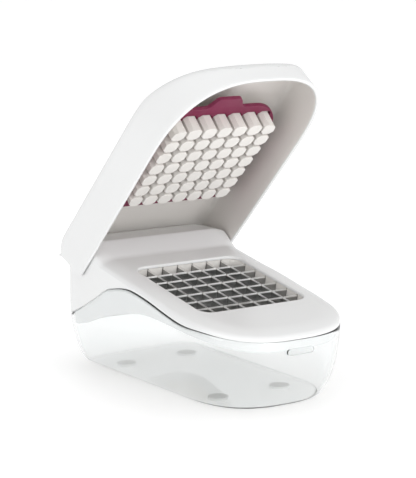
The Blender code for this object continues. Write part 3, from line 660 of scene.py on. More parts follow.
def band_rows(inset):
    """Rows of the skirt's wall, from its own edge up to the seam, set in by inset."""
    rows = []
    lows = line_heights(inset, SKIRT_EDGE, SKIRT_ROUND)
    highs = line_heights(inset, SEAM, SEAM_GAP)
    for s in range(SKIRT_STEPS + 1):
        row = []
        for k, (low, high) in enumerate(zip(lows, highs)):
            z = low + (high - low) * s / SKIRT_STEPS
            row.append((*plan_point(k, inset + taper(z)), z))
        rows.append(row)
    return rows


outside = band_rows(SKIRT_INSET)
inside = band_rows(SKIRT_INSET + SKIRT_WALL)
edge = []
for step in range(1, SKIRT_EDGE_STEPS):
    turn = math.pi * step / SKIRT_EDGE_STEPS
    share = (1 - math.cos(turn)) / 2
    edge.append([
        (a[0] + (b[0] - a[0]) * share, a[1] + (b[1] - a[1]) * share,
         a[2] + (b[2] - a[2]) * share - SKIRT_ROUND * math.sin(turn))
        for a, b in zip(outside[0], inside[0])
    ])
rows = list(reversed(outside)) + edge + inside
rows.append(rows[0])
shape = bmesh.new()
skin(shape, rows, ring=True)
add_piece(
    "body_skirt", closed_mesh("body_skirt", shape), [gloss_white], "chopper")

# %% [markdown]
# ## The body's top
#
# The top is one smooth form: a sloping deck with soft shoulders, a short slope up to the hinge
# block, a round hump over the hinge and a low ledge behind it. It is skinned over many
# cross-sections from the nose to the rear, as a boat's hull is over its frames. How far the
# surface has fallen at its edge depends on the true distance to the outline, looked up in a
# tree of outline points, so the rolled edge is even all the way round the nose.

# %% Body surface
DECK_HEIGHT = 0.0052
DECK_PLATE = 0.002
SHOULDER_WIDTH = 0.014
SHOULDER_DROP = 0.0035
EDGE_ROUND = 0.0025
LEAST_BAND = 0.0012
RISER = 0.048
BLOCK_RISE_END = 0.062
FOOT_EASE = 0.0025
BROW_EASE = 0.0012
HUMP = 0.009
SHELL = 0.0025
LEDGE = 0.0763
LEDGE_STEP = 0.0002
INNER_INSET = SKIRT_INSET + SKIRT_WALL
DECK_RUN = 0.082
SLOPE_STATIONS = (0.053, 0.0555, 0.058)
BLOCK_STATIONS = (0.068, 0.074, 0.080)
LEDGE_STATIONS = (0.0985, 0.1015, 0.1035, 0.105)
SHOULDER_OFFSETS = (0.0038, 0.0054, 0.0072, 0.0092, 0.0114, 0.014)
NARROW_HALF = 0.03


def nearest_outline(points):
    tree = KDTree(len(points))
    for k, (x, y) in enumerate(points):
        tree.insert((x, y, 0.0), k)
    tree.balance()
    return tree


def rolled(distance, radius):
    """How far a round edge has fallen at a distance from the side."""
    if distance >= radius:
        return 0.0
    return radius - math.sqrt(max(radius**2 - (radius - distance) ** 2, 0.0))


def nose_half(half, length, y):
    """Half the width of a nose of some length, at a place along it."""
    along = min((NOSE_START - y) / length, 1.0)
    return half * (1.0 - along**NOSE_POWER) ** (1.0 / NOSE_POWER)


def nose_stations(length, count):
    """Places along a nose, from its tip on, close together where it turns fast."""
    turns = [math.cos(QUARTER_TURN * k / count) ** NOSE_TURN_POWER for k in range(count)]
    return [NOSE_START - length * turn for turn in turns]


def half_width(y, inset=0.0):
    half = HALF_WIDTH - inset
    if y < NOSE_START:
        return nose_half(half, NOSE_LENGTH - inset, y)
    start = REAR - REAR_CORNER
    if y > start:
        radius = REAR_CORNER - inset
        past = min(y - start, radius)
        return half - radius + math.sqrt(radius**2 - past**2)
    return half


def deck_z(y, height):
    return HINGE.z + (y - HINGE.y) * math.tan(DECK_TILT) + height / math.cos(DECK_TILT)


def eased_ramp(y, ease):
    """Zero before y = 0 and y after it, with a curve of the given reach to each side."""
    if abs(y) >= ease:
        return max(y, 0.0)
    return (y + ease) ** 2 / (4 * ease)


def block_z(y):
    """Height of the hinge block along its middle: a slope up from the deck, then level."""
    if y > HINGE.y:
        return HINGE.z + math.sqrt(max(HUMP**2 - (y - HINGE.y) ** 2, 0.0))
    deck, level = math.tan(DECK_TILT), HINGE.z + HUMP
    foot = deck_z(RISER, DECK_HEIGHT)
    climb = (level - foot) / (BLOCK_RISE_END - RISER)
    height = foot + (y - RISER) * deck + (climb - deck) * eased_ramp(y - RISER, FOOT_EASE)
    return height - climb * eased_ramp(y - BLOCK_RISE_END, BROW_EASE)


outline = nearest_outline(plan(0.0, nose=400, side=300, corner=120, rear=60))


def edge_distance(x, y):
    return outline.find((x, y, 0.0))[2]


def body_z(x, y):
    """Height of the body's outside at a place in plan."""
    distance = edge_distance(x, y)
    if y > HINGE.y + HUMP + LEDGE_STEP / 2:
        return LEDGE - rolled(distance, EDGE_ROUND)
    fall = rolled(distance, EDGE_ROUND)
    if distance < SHOULDER_WIDTH:
        fall += SHOULDER_DROP * (1 - distance / SHOULDER_WIDTH) ** 2
    if y > RISER - FOOT_EASE:
        return block_z(y) - fall
    room = deck_z(y, DECK_HEIGHT) - on_line(SEAM, y) - SEAM_GAP - LEAST_BAND
    fall *= min(1.0, room / (SHOULDER_DROP + EDGE_ROUND))
    return deck_z(y, DECK_HEIGHT) - fall


def inner_z(x, y):
    """Height of the body's ceiling over the hollow."""
    distance = edge_distance(x, y)
    fall = SHOULDER_DROP * (1 - distance / SHOULDER_WIDTH) ** 2 if distance < SHOULDER_WIDTH else 0.0
    inner = HUMP - SHELL
    if y > HINGE.y + inner:
        return LEDGE - SHELL
    if y > HINGE.y:
        return HINGE.z + math.sqrt(max(inner**2 - (y - HINGE.y) ** 2, 0.0)) - fall
    ceiling = deck_z(y, DECK_HEIGHT - DECK_PLATE)
    if y > RISER + SHELL:
        ceiling = max(ceiling, block_z(min(y - SHELL, HINGE.y)) - SHELL)
    return ceiling - fall


def stations():
    """Places along the body where its top changes, from the nose to the rear."""
    places = nose_stations(NOSE_LENGTH, 40)
    places += [NOSE_START + DECK_RUN * k / 14 for k in range(14)]
    places += [RISER + FOOT_EASE * k / 4 for k in range(-4, 5)]
    places += [BLOCK_RISE_END + BROW_EASE * k / 4 for k in range(-4, 5)]
    places += [HINGE.y + HUMP * math.sin(QUARTER_TURN * k / 10) for k in range(11)]
    places += [*SLOPE_STATIONS, *BLOCK_STATIONS, HINGE.y + HUMP + LEDGE_STEP, *LEDGE_STATIONS]
    places += [REAR - EDGE_ROUND * math.cos(QUARTER_TURN * k / 7) for k in range(1, 7)] + [REAR]
    return sorted(set(round(y, 7) for y in places))


def columns(half, narrow, radius, edge_steps, shoulder, middle_steps):
    """Distances from the middle to the side, close together on the rolled edge.

    Where the piece is narrower than narrow on each side, they draw together.
    """
    offsets = [radius * (1 - math.cos(QUARTER_TURN * k / edge_steps)) for k in range(edge_steps + 1)]
    offsets = [offset * min(1.0, half / narrow) for offset in (*offsets, *shoulder)]
    rest = half - offsets[-1]
    inward = [rest * (1 - k / middle_steps) for k in range(1, middle_steps + 1)]
    return [half - offset for offset in offsets] + inward


def body_section(y, inset, height_at, ledge):
    """One cross-section, from the right ledge over the top to the left ledge."""
    half = half_width(y, inset)
    top = height_at(half, y)
    wall = [(half, y, ledge + (top - ledge) * k / 4) for k in range(4)]
    across = columns(half, NARROW_HALF, EDGE_ROUND, 7, SHOULDER_OFFSETS, 7)
    right = wall + [(x, y, height_at(x, y)) for x in across]
    return [tapered(point) for point in right + mirrored(right[:-1])]


def tapered(point):
    """Draw a low point of the side wall in, as the container's wall is."""
    x, y, z = point
    if z >= TAPER_TOP:
        return point
    start = REAR - REAR_CORNER
    wide = HALF_WIDTH - REAR_CORNER
    draw = taper(z)
    if y <= start:
        return (x - math.copysign(draw, x), y, z)
    out = Vector((max(abs(x) - wide, 0.0), y - start))
    if out.length < 0.000001:
        return point
    out.normalize()
    return (x - math.copysign(draw * out.x, x), y - draw * out.y, z)


def inner_place(y, inset):
    """The inner skin's station that belongs to an outer one."""
    if y < NOSE_START:
        return NOSE_START - (NOSE_START - y) * (NOSE_LENGTH - inset) / NOSE_LENGTH
    start = REAR - REAR_CORNER
    if y > start:
        return start + (y - start) * (REAR_CORNER - inset) / REAR_CORNER
    return y


shape = bmesh.new()
outer, inner = [], []
for y in stations():
    ledge = on_line(SEAM, y) + SEAM_GAP
    outer.append(body_section(y, 0.0, body_z, ledge))
    inner.append(body_section(inner_place(y, INNER_INSET), INNER_INSET, inner_z, ledge))
outer_made = skin(shape, outer)
inner_made = skin(shape, inner, group=1)
for end in (0, -1):
    strip = [[row[end] for row in outer_made], [row[end] for row in inner_made]]
    for k in range(len(strip[0]) - 1):
        shape.faces.new((strip[0][k], strip[0][k + 1], strip[1][k + 1], strip[1][k]))
shape.faces.new((outer_made[-1][0], outer_made[-1][-1], inner_made[-1][-1], inner_made[-1][0]))
cap(shape, outer_made[-1])
cap(shape, list(reversed(inner_made[-1])), 1)
body_mesh = closed_mesh("body_top", shape)

# %% [markdown]
# ## The opening in the deck
#
# The opening over the blades has straight sides, round corners and a softly rounded lip. A
# Boolean cut is the honest way to make it, since the real one is cut from the same sheet of
# surface. The cutter flares out in a quarter circle where it leaves the deck, so the lip
# comes out rounded without a bevel.

# %% Opening
PITCH = 0.0127
CELLS = 7
ROW_ONE = 0.06425
OPENING_CORNER = 0.009
LIP = 0.0012
LIP_STEPS = 6
CUT_LOW = -0.03
CUT_OVER = 0.01


def rounded_rectangle(low, high, radius, steps=8):
    (x0, y0), (x1, y1) = low, high
    points = []
    corners = ((x1, y1, -1, -1), (x0, y1, 1, -1), (x0, y0, 1, 1), (x1, y0, -1, 1))
    for k, (x, y, right, up) in enumerate(corners):
        for step in range(steps + 1):
            turn = QUARTER_TURN * (k + step / steps)
            px = x + radius * (right + math.cos(turn))
            points.append((px, y + radius * (up + math.sin(turn))))
    return points


def row_y(k):
    return -(ROW_ONE + k * PITCH)


def opening(grow):
    half = CELLS * PITCH / 2 + grow
    return (-half, row_y(CELLS - 0.5) - grow), (half, row_y(-0.5) + grow)


def opening_row(grow, height):
    ring = rounded_rectangle(*opening(grow), OPENING_CORNER + grow)
    return [(x, y, height) for x, y in ring]


levels = [(0.0, CUT_LOW), (0.0, DECK_HEIGHT - LIP)]
for step in range(1, LIP_STEPS + 1):
    turn = QUARTER_TURN * step / LIP_STEPS
    levels.append((LIP * (1 - math.cos(turn)), DECK_HEIGHT - LIP + LIP * math.sin(turn)))
levels.append((LIP, DECK_HEIGHT + CUT_OVER))
shape = bmesh.new()
made = skin(shape, [opening_row(grow, height) for grow, height in levels], ring=True)
cap_ends(shape, made)
cutter = new_object("opening_cutter", closed_mesh("opening_cutter", shape, DECK))
blank = new_object("body_blank", body_mesh)
cut = blank.modifiers.new("opening", "BOOLEAN")
cut.operation = "DIFFERENCE"
cut.solver = "EXACT"
cut.object = cutter
body_mesh.materials.append(gloss_white)
body_mesh.materials.append(satin_white_painted_shade)
bpy.context.view_layer.update()
evaluated = blank.evaluated_get(bpy.context.evaluated_depsgraph_get())
opened = bpy.data.meshes.new_from_object(evaluated)
for helper in (blank, cutter):
    bpy.data.objects.remove(helper, do_unlink=True)
add_piece("body_top", opened, [gloss_white, satin_white_painted_shade], "chopper",
          ["chopper_body"], sharp=32.0)
print("body faces after the cut:", len(opened.polygons))

# %% [markdown]
# ## Repeating pieces with Geometry Nodes
#
# Blades, pushers, screws and feet all repeat. For such pieces one unit is modelled and a
# Geometry Nodes tree sets it out. Two trees are enough: one along a line and one over a
# rectangle of points. Both end in Realize Instances and Set Material, and the result is
# turned into a plain mesh, because an export would drop the instances.

# %% Node trees
class Layout:
    """A Geometry Nodes tree with named inputs, put together one node at a time."""

    def __init__(self, name, inputs):
        self.tree = bpy.data.node_groups.new(name, "GeometryNodeTree")
        for label, kind in inputs:
            self.tree.interface.new_socket(label, in_out="INPUT", socket_type=kind)
        self.tree.interface.new_socket("Geometry", in_out="OUTPUT", socket_type="NodeSocketGeometry")
        self.inputs = self.tree.nodes.new("NodeGroupInput")

    def add(self, kind, inputs, output=0, **settings):
        return add_node(self.tree, kind, settings, inputs).outputs[output]

    def given(self, label):
        return self.inputs.outputs[label]

    def finish(self, points):
        """Put a copy of the unit on each point, make the copies real and give them the finish."""
        unit = self.add("GeometryNodeObjectInfo", {"Object": self.given("Unit")}, "Geometry")
        spread = self.add("GeometryNodeInstanceOnPoints", {"Points": points, "Instance": unit})
        real = self.add("GeometryNodeRealizeInstances", {"Geometry": spread})
        dressed = self.add(
            "GeometryNodeSetMaterial", {"Geometry": real, "Material": self.given("Finish")})
        end = self.tree.nodes.new("NodeGroupOutput")
        self.tree.links.new(dressed, end.inputs[0])
        return self.tree


UNIT_AND_FINISH = [("Unit", "NodeSocketObject"), ("Finish", "NodeSocketMaterial")]
layout = Layout("units_in_a_line", UNIT_AND_FINISH + [
    ("Count", "NodeSocketInt"), ("Start", "NodeSocketVector"), ("Step", "NodeSocketVector")])
line = layout.add("GeometryNodeMeshLine", {
    "Count": layout.given("Count"), "Start Location": layout.given("Start"),
    "Offset": layout.given("Step")}, mode="OFFSET", count_mode="TOTAL")
units_in_a_line = layout.finish(line)

layout = Layout("units_on_a_grid", UNIT_AND_FINISH + [
    ("Columns", "NodeSocketInt"), ("Rows", "NodeSocketInt"),
    ("Width", "NodeSocketFloat"), ("Depth", "NodeSocketFloat"), ("Middle", "NodeSocketVector")])
grid = layout.add("GeometryNodeMeshGrid", {
    "Vertices X": layout.given("Columns"), "Vertices Y": layout.given("Rows"),
    "Size X": layout.given("Width"), "Size Y": layout.given("Depth")})
moved = layout.add(
    "GeometryNodeTransform", {"Geometry": grid, "Translation": layout.given("Middle")})
units_on_a_grid = layout.finish(moved)


def set_out(name, tree, unit_mesh, finish, matrix, **inputs):
    """Run a tree on one unit and return the result as a plain mesh, put in its place."""
    unit = new_object(name + "_unit", unit_mesh)
    host = new_object(name + "_host", bpy.data.meshes.new(name))
    step = host.modifiers.new("layout", "NODES")
    step.node_group = tree
    inputs.update(Unit=unit, Finish=finish)
    for item in tree.interface.items_tree:
        if item.item_type == "SOCKET" and item.in_out == "INPUT":
            step[item.identifier] = inputs[item.name]
    bpy.context.view_layer.update()
    result = host.evaluated_get(bpy.context.evaluated_depsgraph_get())
    mesh = bpy.data.meshes.new_from_object(result)
    for helper in (host, unit):
        bpy.data.objects.remove(helper, do_unlink=True)
    mesh.transform(matrix)
    print(name, "faces:", len(mesh.polygons))
    return mesh


def merged(name, meshes):
    """Several meshes as one."""
    shape = bmesh.new()
    for mesh in meshes:
        shape.from_mesh(mesh)
    whole = bpy.data.meshes.new(name)
    shape.to_mesh(whole)
    shape.free()
    return whole


print("layouts:", units_in_a_line.name, units_on_a_grid.name)

# %% [markdown]
# ## The blades
#
# Each blade is a steel strip with its upper edge ground on both sides, and the two sets are
# halved over each other: the long ones are notched from below, the cross ones from above. A
# strip is skinned over its cross-sections, with two sections wherever a notch begins, so the
# ground edge and the notches come out in one closed mesh.

# %% Blades
BLADE_TOP = DECK_HEIGHT - 0.0025
BLADE_LOW = BLADE_TOP - 0.010
BLADE_HALF = 0.0003
GRIND = 0.0012
GRIND_TIP = 0.00005
BLADE_SEAT = 0.0018
NOTCH_HALF = 0.0006
NOTCH_GAP = 0.00015


def blade_mesh(name, start, end, notches, from_top, turn):
    """One blade along its own length, notched halfway wherever another crosses it."""
    middle = (BLADE_TOP + BLADE_LOW) / 2
    gap = -NOTCH_GAP if from_top else NOTCH_GAP

    def section(place, notched):
        low = middle + gap if notched and not from_top else BLADE_LOW
        if notched and from_top:
            across = [(BLADE_HALF, middle + gap)] * 2
        else:
            across = [(BLADE_HALF, BLADE_TOP - GRIND), (GRIND_TIP, BLADE_TOP)]
        ring = [(-BLADE_HALF, low), (BLADE_HALF, low)] + across + mirrored(across)
        return [(x, place, z) for x, z in ring]

    rows = [section(start, False)]
    for place in notches:
        rows += [section(place - NOTCH_HALF, False), section(place - NOTCH_HALF, True)]
        rows += [section(place + NOTCH_HALF, True), section(place + NOTCH_HALF, False)]
    rows.append(section(end, False))
    shape = bmesh.new()
    made = skin(shape, rows, ring=True)
    cap_ends(shape, made)
    return closed_mesh(name, shape, turn)


(x0, y0), (x1, y1) = opening(BLADE_SEAT)
between = [k + 0.5 for k in range(CELLS - 1)]
rows_at = sorted(row_y(k) for k in between)
columns_at = [(k - (CELLS - 1) / 2) * PITCH for k in between]
long_unit = blade_mesh("long_blade", y0, y1, rows_at, False, Matrix.Identity(4))
quarter = Matrix.Rotation(-QUARTER_TURN, 4, "Z")
cross_unit = blade_mesh("cross_blade", x0, x1, columns_at, True, quarter)
long_mesh = set_out(
    "long_blades", units_in_a_line, long_unit, long_steel, DECK,
    Count=CELLS - 1, Start=(columns_at[0], 0.0, 0.0), Step=(PITCH, 0.0, 0.0))
cross_mesh = set_out(
    "cross_blades", units_in_a_line, cross_unit, cross_steel, DECK,
    Count=CELLS - 1, Start=(0.0, rows_at[0], 0.0), Step=(0.0, PITCH, 0.0))
add_piece("long_blades", long_mesh, [long_steel], "chopper",
          [f"long_blade_{n}" for n in range(1, CELLS)], sharp=10.0)
add_piece("cross_blades", cross_mesh, [cross_steel], "chopper",
          [f"cross_blade_{n}" for n in range(1, CELLS)], sharp=10.0)

# %% [markdown]
# ## Posts, bosses, screws and feet
#
# Under the deck stand four short posts for the blade frame's screws, and two hollow bosses
# carry the hinge pins. Screws and feet are turned shapes. All of them are profiles, carried
# round an axis as a lathe does, and the grid tree sets two rows of two out from one unit.

# %% Turned pieces
POST_X, POST_TOP, POST_LOW = 0.0505, 0.0042, -0.0027
POST_RADIUS, POST_BORE = 0.0027, 0.0014
BOSS_INNER, BOSS_OUTER = 0.0445, 0.0575
BOSS_RADIUS, BOSS_BORE = 0.007, 0.0033
FOOT_RADIUS, FOOT_HEIGHT = 0.007, 0.0017
FOOT_APART = (0.052, 0.116)
FOOT_MIDDLE = (0.0, 0.008, 0.0)
FOOT_RINGS = (
    # radius, height: a low middle, a ring that stands, and a groove round it
    (0.0, 0.0003), (0.0026, 0.0003), (0.0029, 0.0), (0.0046, 0.0), (0.0049, 0.0004),
    (0.0054, 0.0004), (0.0057, 0.0),
)
SCREW_HEAD, SCREW_RADIUS, SCREW_SEAT = 0.0016, 0.0024, -0.0063
SOCKET_RADIUS, SOCKET_DEPTH = 0.0012, 0.0009
SHANK_RADIUS, SHANK_LENGTH = 0.0011, 0.0068
TUBE_EASE, HEAD_EASE, PAD_EASE = 0.0003, 0.0004, 0.0005
SCREW_GRID = {
    "Columns": 2, "Rows": 2, "Width": 2 * POST_X, "Depth": 4 * PITCH, "Middle": (0.0, row_y(3), 0.0),
}


def turned_unit(name, profile, sides=32, turn=None):
    """A lathe: a profile of radius and height pairs, carried once round. It may be a ring."""
    shape = bmesh.new()
    rows = []
    for radius, z in profile:
        angles = [2 * math.pi * k / sides for k in range(sides)]
        rows.append([(radius * math.cos(a), radius * math.sin(a), z) for a in angles])
    skin(shape, rows, ring=True)
    return closed_mesh(name, shape, turn)


def tube_profile(outer, bore, low, high):
    """A tube with an eased lower end; its profile ends where it starts."""
    eased = [(outer - TUBE_EASE, low), (outer, low + TUBE_EASE)]
    return [(bore, low), *eased, (outer, high), (bore, high), (bore, low)]


post = turned_unit("post", tube_profile(POST_RADIUS, POST_BORE, POST_LOW, POST_TOP))
posts = set_out("screw_posts", units_on_a_grid, post, gloss_white, DECK, **SCREW_GRID)
add_piece("screw_posts", posts, [gloss_white], "chopper")

half_long = (BOSS_OUTER - BOSS_INNER) / 2
boss = turned_unit(
    "boss", tube_profile(BOSS_RADIUS, BOSS_BORE, -half_long, half_long),
    turn=Matrix.Rotation(QUARTER_TURN, 4, "Y"))
reach = BOSS_INNER + half_long
bosses = set_out(
    "pin_bosses", units_in_a_line, boss, gloss_white, Matrix.Translation(HINGE),
    Count=2, Start=(-reach, 0.0, 0.0), Step=(2 * reach, 0.0, 0.0))
add_piece("pin_bosses", bosses, [gloss_white], "chopper")

foot_profile = [*FOOT_RINGS, (FOOT_RADIUS - PAD_EASE, 0.0), (FOOT_RADIUS, PAD_EASE)]
foot_profile += [(FOOT_RADIUS, FOOT_HEIGHT), (0.0, FOOT_HEIGHT)]
feet = set_out(
    "feet", units_on_a_grid, turned_unit("foot", foot_profile), rubber, Matrix.Identity(4),
    Columns=2, Rows=2, Width=FOOT_APART[0], Depth=FOOT_APART[1], Middle=FOOT_MIDDLE)
add_piece("feet", feet, [rubber], "container",
          [f"foot_{end}_{side}" for end in ("front", "rear") for side in ("left", "right")])

low = SCREW_SEAT - SCREW_HEAD
screw_profile = [(0.0, low + SOCKET_DEPTH), (SOCKET_RADIUS, low + SOCKET_DEPTH), (SOCKET_RADIUS, low)]
screw_profile += [(SCREW_RADIUS - HEAD_EASE, low), (SCREW_RADIUS, low + HEAD_EASE)]
screw_profile += [(SCREW_RADIUS, SCREW_SEAT)]
screw_profile += [(SHANK_RADIUS, SCREW_SEAT), (SHANK_RADIUS, SCREW_SEAT + SHANK_LENGTH)]
screw_profile += [(0.0, SCREW_SEAT + SHANK_LENGTH)]
screws = set_out(
    "frame_screws", units_on_a_grid, turned_unit("screw", screw_profile, 24), pin_steel, DECK,
    **SCREW_GRID)
add_piece("frame_screws", screws, [pin_steel], "chopper",
          [f"frame_screw_{n}" for n in range(1, 5)])

# %% [markdown]
# ## The lid's shell
#
# The lid is the largest moulding: a top that slopes to a round nose, deep sides, and a heel
# that wraps round the hinge. It is skinned over cross-sections like the body, an outer and an
# inner skin with the same count of points, and its rim is a rounded strip between the two.
# It is drawn closed, about its hinge, and turned to where it stands open.

# %% Lid
LID_HALF = 0.0632
LID_NOSE = -0.115
LID_WALL = 0.0025
LID_SLOPE = math.radians(8.75)
LID_CROWN = 0.0012
LID_EDGE = 0.006
HEEL = 0.016
HEEL_ANGLE = math.radians(31.0)
NOSE_CURVE = -0.060
NOSE_DROP = 0.022
NOSE_DROP_PARTS = ((0.75, 1.4), (0.25, 8))
NOSE_EDGE_LOSS = 0.5
RIM_REAR = (0.0907, 0.0655)
RIM_SLOPE = math.radians(8.3)
RIM_BULGE = 0.0011
SIDE_LENGTH = 0.16
LOOKUP_STEPS = 500
LID_NARROW_HALF = 0.02


def lid_half(y, inset):
    half = LID_HALF - inset
    return half if y >= NOSE_START else nose_half(half, NOSE_START - LID_NOSE - inset, y)


def lid_outline(inset):
    """The lid's plan as dense points, for looking up distances to its edge."""
    nose = nose_stations(NOSE_START - LID_NOSE - inset, LOOKUP_STEPS)
    points = [(lid_half(y, inset), y) for y in nose]
    side = [NOSE_START + SIDE_LENGTH * k / LOOKUP_STEPS for k in range(LOOKUP_STEPS)]
    points += [(LID_HALF - inset, y) for y in side]
    return nearest_outline(points + [(-x, y) for x, y in points])


def lid_height(inset):
    """The height of the lid's outer skin, or of its inner one when set in."""
    radius = HEEL - inset
    tangent = HINGE.y - radius * math.sin(LID_SLOPE)
    tree = lid_outline(inset)

    def height_at(x, y):
        half = max(lid_half(y, inset), 0.0001)
        share = min(abs(x) / half, 1.0)
        along = max((NOSE_CURVE - y) / (NOSE_CURVE - LID_NOSE - inset), 0.0)
        corner = (LID_EDGE - inset) * (1 - NOSE_EDGE_LOSS * along)
        fall = LID_CROWN * (share**2 - 0.5) + rolled(tree.find((x, y, 0.0))[2], corner)
        if y > tangent:
            return HINGE.z + math.sqrt(max(radius**2 - (y - HINGE.y) ** 2, 0.0)) - fall
        fall += NOSE_DROP * sum(part * along**power for part, power in NOSE_DROP_PARTS)
        top = HINGE.z + radius / math.cos(LID_SLOPE) + (y - HINGE.y) * math.tan(LID_SLOPE)
        return top - fall

    return height_at


def rim_height(y):
    """Height of the rim's lower edge, which climbs round the heel at its rear."""
    points = [RIM_REAR]
    for radius in (HEEL - LID_WALL, HEEL):
        points.append((HINGE.y + radius * math.cos(HEEL_ANGLE), HINGE.z + radius * math.sin(HEEL_ANGLE)))
    if y <= RIM_REAR[0]:
        return RIM_REAR[1] - (RIM_REAR[0] - y) * math.tan(RIM_SLOPE)
    for (ya, za), (yb, zb) in zip(points, points[1:]):
        if y <= yb:
            return za + (zb - za) * (y - ya) / (yb - ya)
    return points[-1][1]


def lid_stations(inset):
    places = nose_stations(NOSE_START - LID_NOSE - inset, 44)
    radius = HEEL - inset
    start = HINGE.y - radius * math.sin(LID_SLOPE)
    places += [NOSE_START + (start - NOSE_START) * k / 24 for k in range(24)]
    sweep = QUARTER_TURN - HEEL_ANGLE + LID_SLOPE
    places += [HINGE.y + radius * math.sin(sweep * k / 16 - LID_SLOPE) for k in range(17)]
    return places


def lid_section(y, inset, height_at):
    half = lid_half(y, inset)
    low = rim_height(y) + RIM_BULGE
    top = max(height_at(half, y), low)
    wall = [(half, y, low + (top - low) * k / 8) for k in range(8)]
    across = columns(half, LID_NARROW_HALF, LID_EDGE - inset, 8, (), 9)
    right = wall + [(x, y, max(height_at(x, y), low)) for x in across]
    return right + mirrored(right[:-1])


def rounded_rim(shape, first, second, steps=6):
    """Close the gap between the two skins' edges by a strip that bulges downwards."""
    rows = []
    for step in range(steps + 1):
        turn = math.pi * step / steps
        share = (1 - math.cos(turn)) / 2
        drop = Vector((0.0, 0.0, -RIM_BULGE * math.sin(turn)))
        rows.append([a.co.lerp(b.co, share) + drop for a, b in zip(first, second)])
    skin(shape, rows)


outer_height, inner_height = lid_height(0.0), lid_height(LID_WALL)
shape = bmesh.new()
outer = skin(shape, [lid_section(y, 0.0, outer_height) for y in lid_stations(0.0)])
# The inner skin takes the second finish, whose darker, warmer colour is painted shade.
inner = skin(shape, [lid_section(y, LID_WALL, inner_height) for y in lid_stations(LID_WALL)], group=1)
for end in (0, -1):
    rounded_rim(shape, [row[end] for row in outer], [row[end] for row in inner])
rounded_rim(shape, outer[-1], inner[-1])
lid_mesh = closed_mesh("lid_shell", shape, LID @ Matrix.Translation(-HINGE))
add_piece("lid_shell", lid_mesh, [gloss_white, satin_white_painted_shade], "lid", ["lid_cover"])

# %% [markdown]
# ## The pushers
#
# Each pusher is a square stud with cut corners and a slightly eased tip, and the forty-nine
# of them stand on one plate. The tip is what shows, so it gets two narrow rings of faces that
# turn the edge. The grid tree sets the studs out.

# %% Pushers
PUSHER = 0.0106
PUSHER_CHAMFER = 0.0025
PUSHER_TIP = -0.0058
PUSHER_EDGE_GAP = 0.0006
PLATE_LOW = 0.0095
PLATE_TOP = 0.0115
PLATE_MARGIN = 0.0015
PLATE_EASE = 0.0004
TIP_EASE = 0.0005
TIP_CHAMFER = PUSHER_CHAMFER - 0.0002
ROOT_DEPTH = 0.001


def cut_square(size, chamfer):
    half = size / 2
    cut = half - chamfer
    ring = [(half, -cut), (half, cut), (cut, half), (-cut, half)]
    return ring + [(-half, cut), (-half, -cut), (-cut, -half), (cut, -half)]


def stud_mesh(name):
    """One pusher, from its eased tip down to its root in the plate."""
    levels = (
        (PUSHER - 2 * TIP_EASE, TIP_CHAMFER, PUSHER_TIP),
        (PUSHER - 0.6 * TIP_EASE, PUSHER_CHAMFER, PUSHER_TIP + 0.3 * TIP_EASE),
        (PUSHER, PUSHER_CHAMFER, PUSHER_TIP + TIP_EASE),
        (PUSHER, PUSHER_CHAMFER, PLATE_LOW + ROOT_DEPTH),
    )
    shape = bmesh.new()
    rows = [[(x, y, z) for x, y in cut_square(size, chamfer)] for size, chamfer, z in levels]
    made = skin(shape, rows, ring=True)
    cap_ends(shape, made)
    return closed_mesh(name, shape)


def inside_corners(mesh):
    """Draw the corner studs in, so that they pass the opening's round corners."""
    radius = OPENING_CORNER - PUSHER_EDGE_GAP
    (x0, y0), (x1, y1) = opening(-PUSHER_EDGE_GAP)
    for vertex in mesh.vertices:
        x, y = vertex.co.x, vertex.co.y
        near = Vector((min(max(x, x0 + radius), x1 - radius), min(max(y, y0 + radius), y1 - radius)))
        out = Vector((x, y)) - near
        if min(abs(out.x), abs(out.y)) > 0.0 and out.length > radius:
            out.length = radius
            vertex.co.x, vertex.co.y = near + out


def plate_mesh(name, loops, low, high, ease, matrix):
    """A flat plate drawn as loops, the first its outline and the rest holes, with eased edges."""
    curve = bpy.data.curves.new(name, "CURVE")
    curve.dimensions = "2D"
    curve.fill_mode = "BOTH"
    curve.extrude = (high - low) / 2 - ease
    curve.bevel_depth = ease
    curve.bevel_resolution = 2
    curve.offset = -ease
    for loop in loops:
        spline = curve.splines.new("POLY")
        spline.points.add(len(loop) - 1)
        spline.use_cyclic_u = True
        for point, (x, y) in zip(spline.points, loop):
            point.co = (x, y, 0.0, 1.0)
    drawing = new_object(name, curve)
    bpy.context.view_layer.update()
    mesh = bpy.data.meshes.new_from_object(
        drawing.evaluated_get(bpy.context.evaluated_depsgraph_get()))
    bpy.data.objects.remove(drawing, do_unlink=True)
    shape = bmesh.new()
    shape.from_mesh(mesh)
    return closed_mesh(name, shape, matrix @ Matrix.Translation((0.0, 0.0, (low + high) / 2)))


studs = set_out(
    "pusher_studs", units_on_a_grid, stud_mesh("stud"), satin_white_painted_shade, Matrix.Identity(4),
    Columns=CELLS, Rows=CELLS, Width=(CELLS - 1) * PITCH, Depth=(CELLS - 1) * PITCH,
    Middle=(0.0, row_y((CELLS - 1) / 2), 0.0))
inside_corners(studs)
studs.transform(LID_DECK)
ring = rounded_rectangle(*opening(PLATE_MARGIN), OPENING_CORNER + PLATE_MARGIN)
plate = plate_mesh("pusher_plate", [ring], PLATE_LOW, PLATE_TOP, PLATE_EASE, LID_DECK)
add_piece("pusher_block", merged("pusher_block", [plate, studs]), [satin_white_painted_shade], "lid",
          ["pusher_block"], sharp=20.0)

# %% [markdown]
# ## The lid's bosses
#
# Four hollow bosses hold the pushers' plate under the lid. The lid slopes less than the plate,
# so the front pair is taller. Each pair is one turned unit, set out along a line of two.

# %% Lid bosses
LID_BOSS, PEG_BORE = 0.0045, 0.0019
BOSS_LOW = PLATE_TOP + GAP
BOSS_ROWS = ((0.5, 0.0173), (5.5, 0.0198))

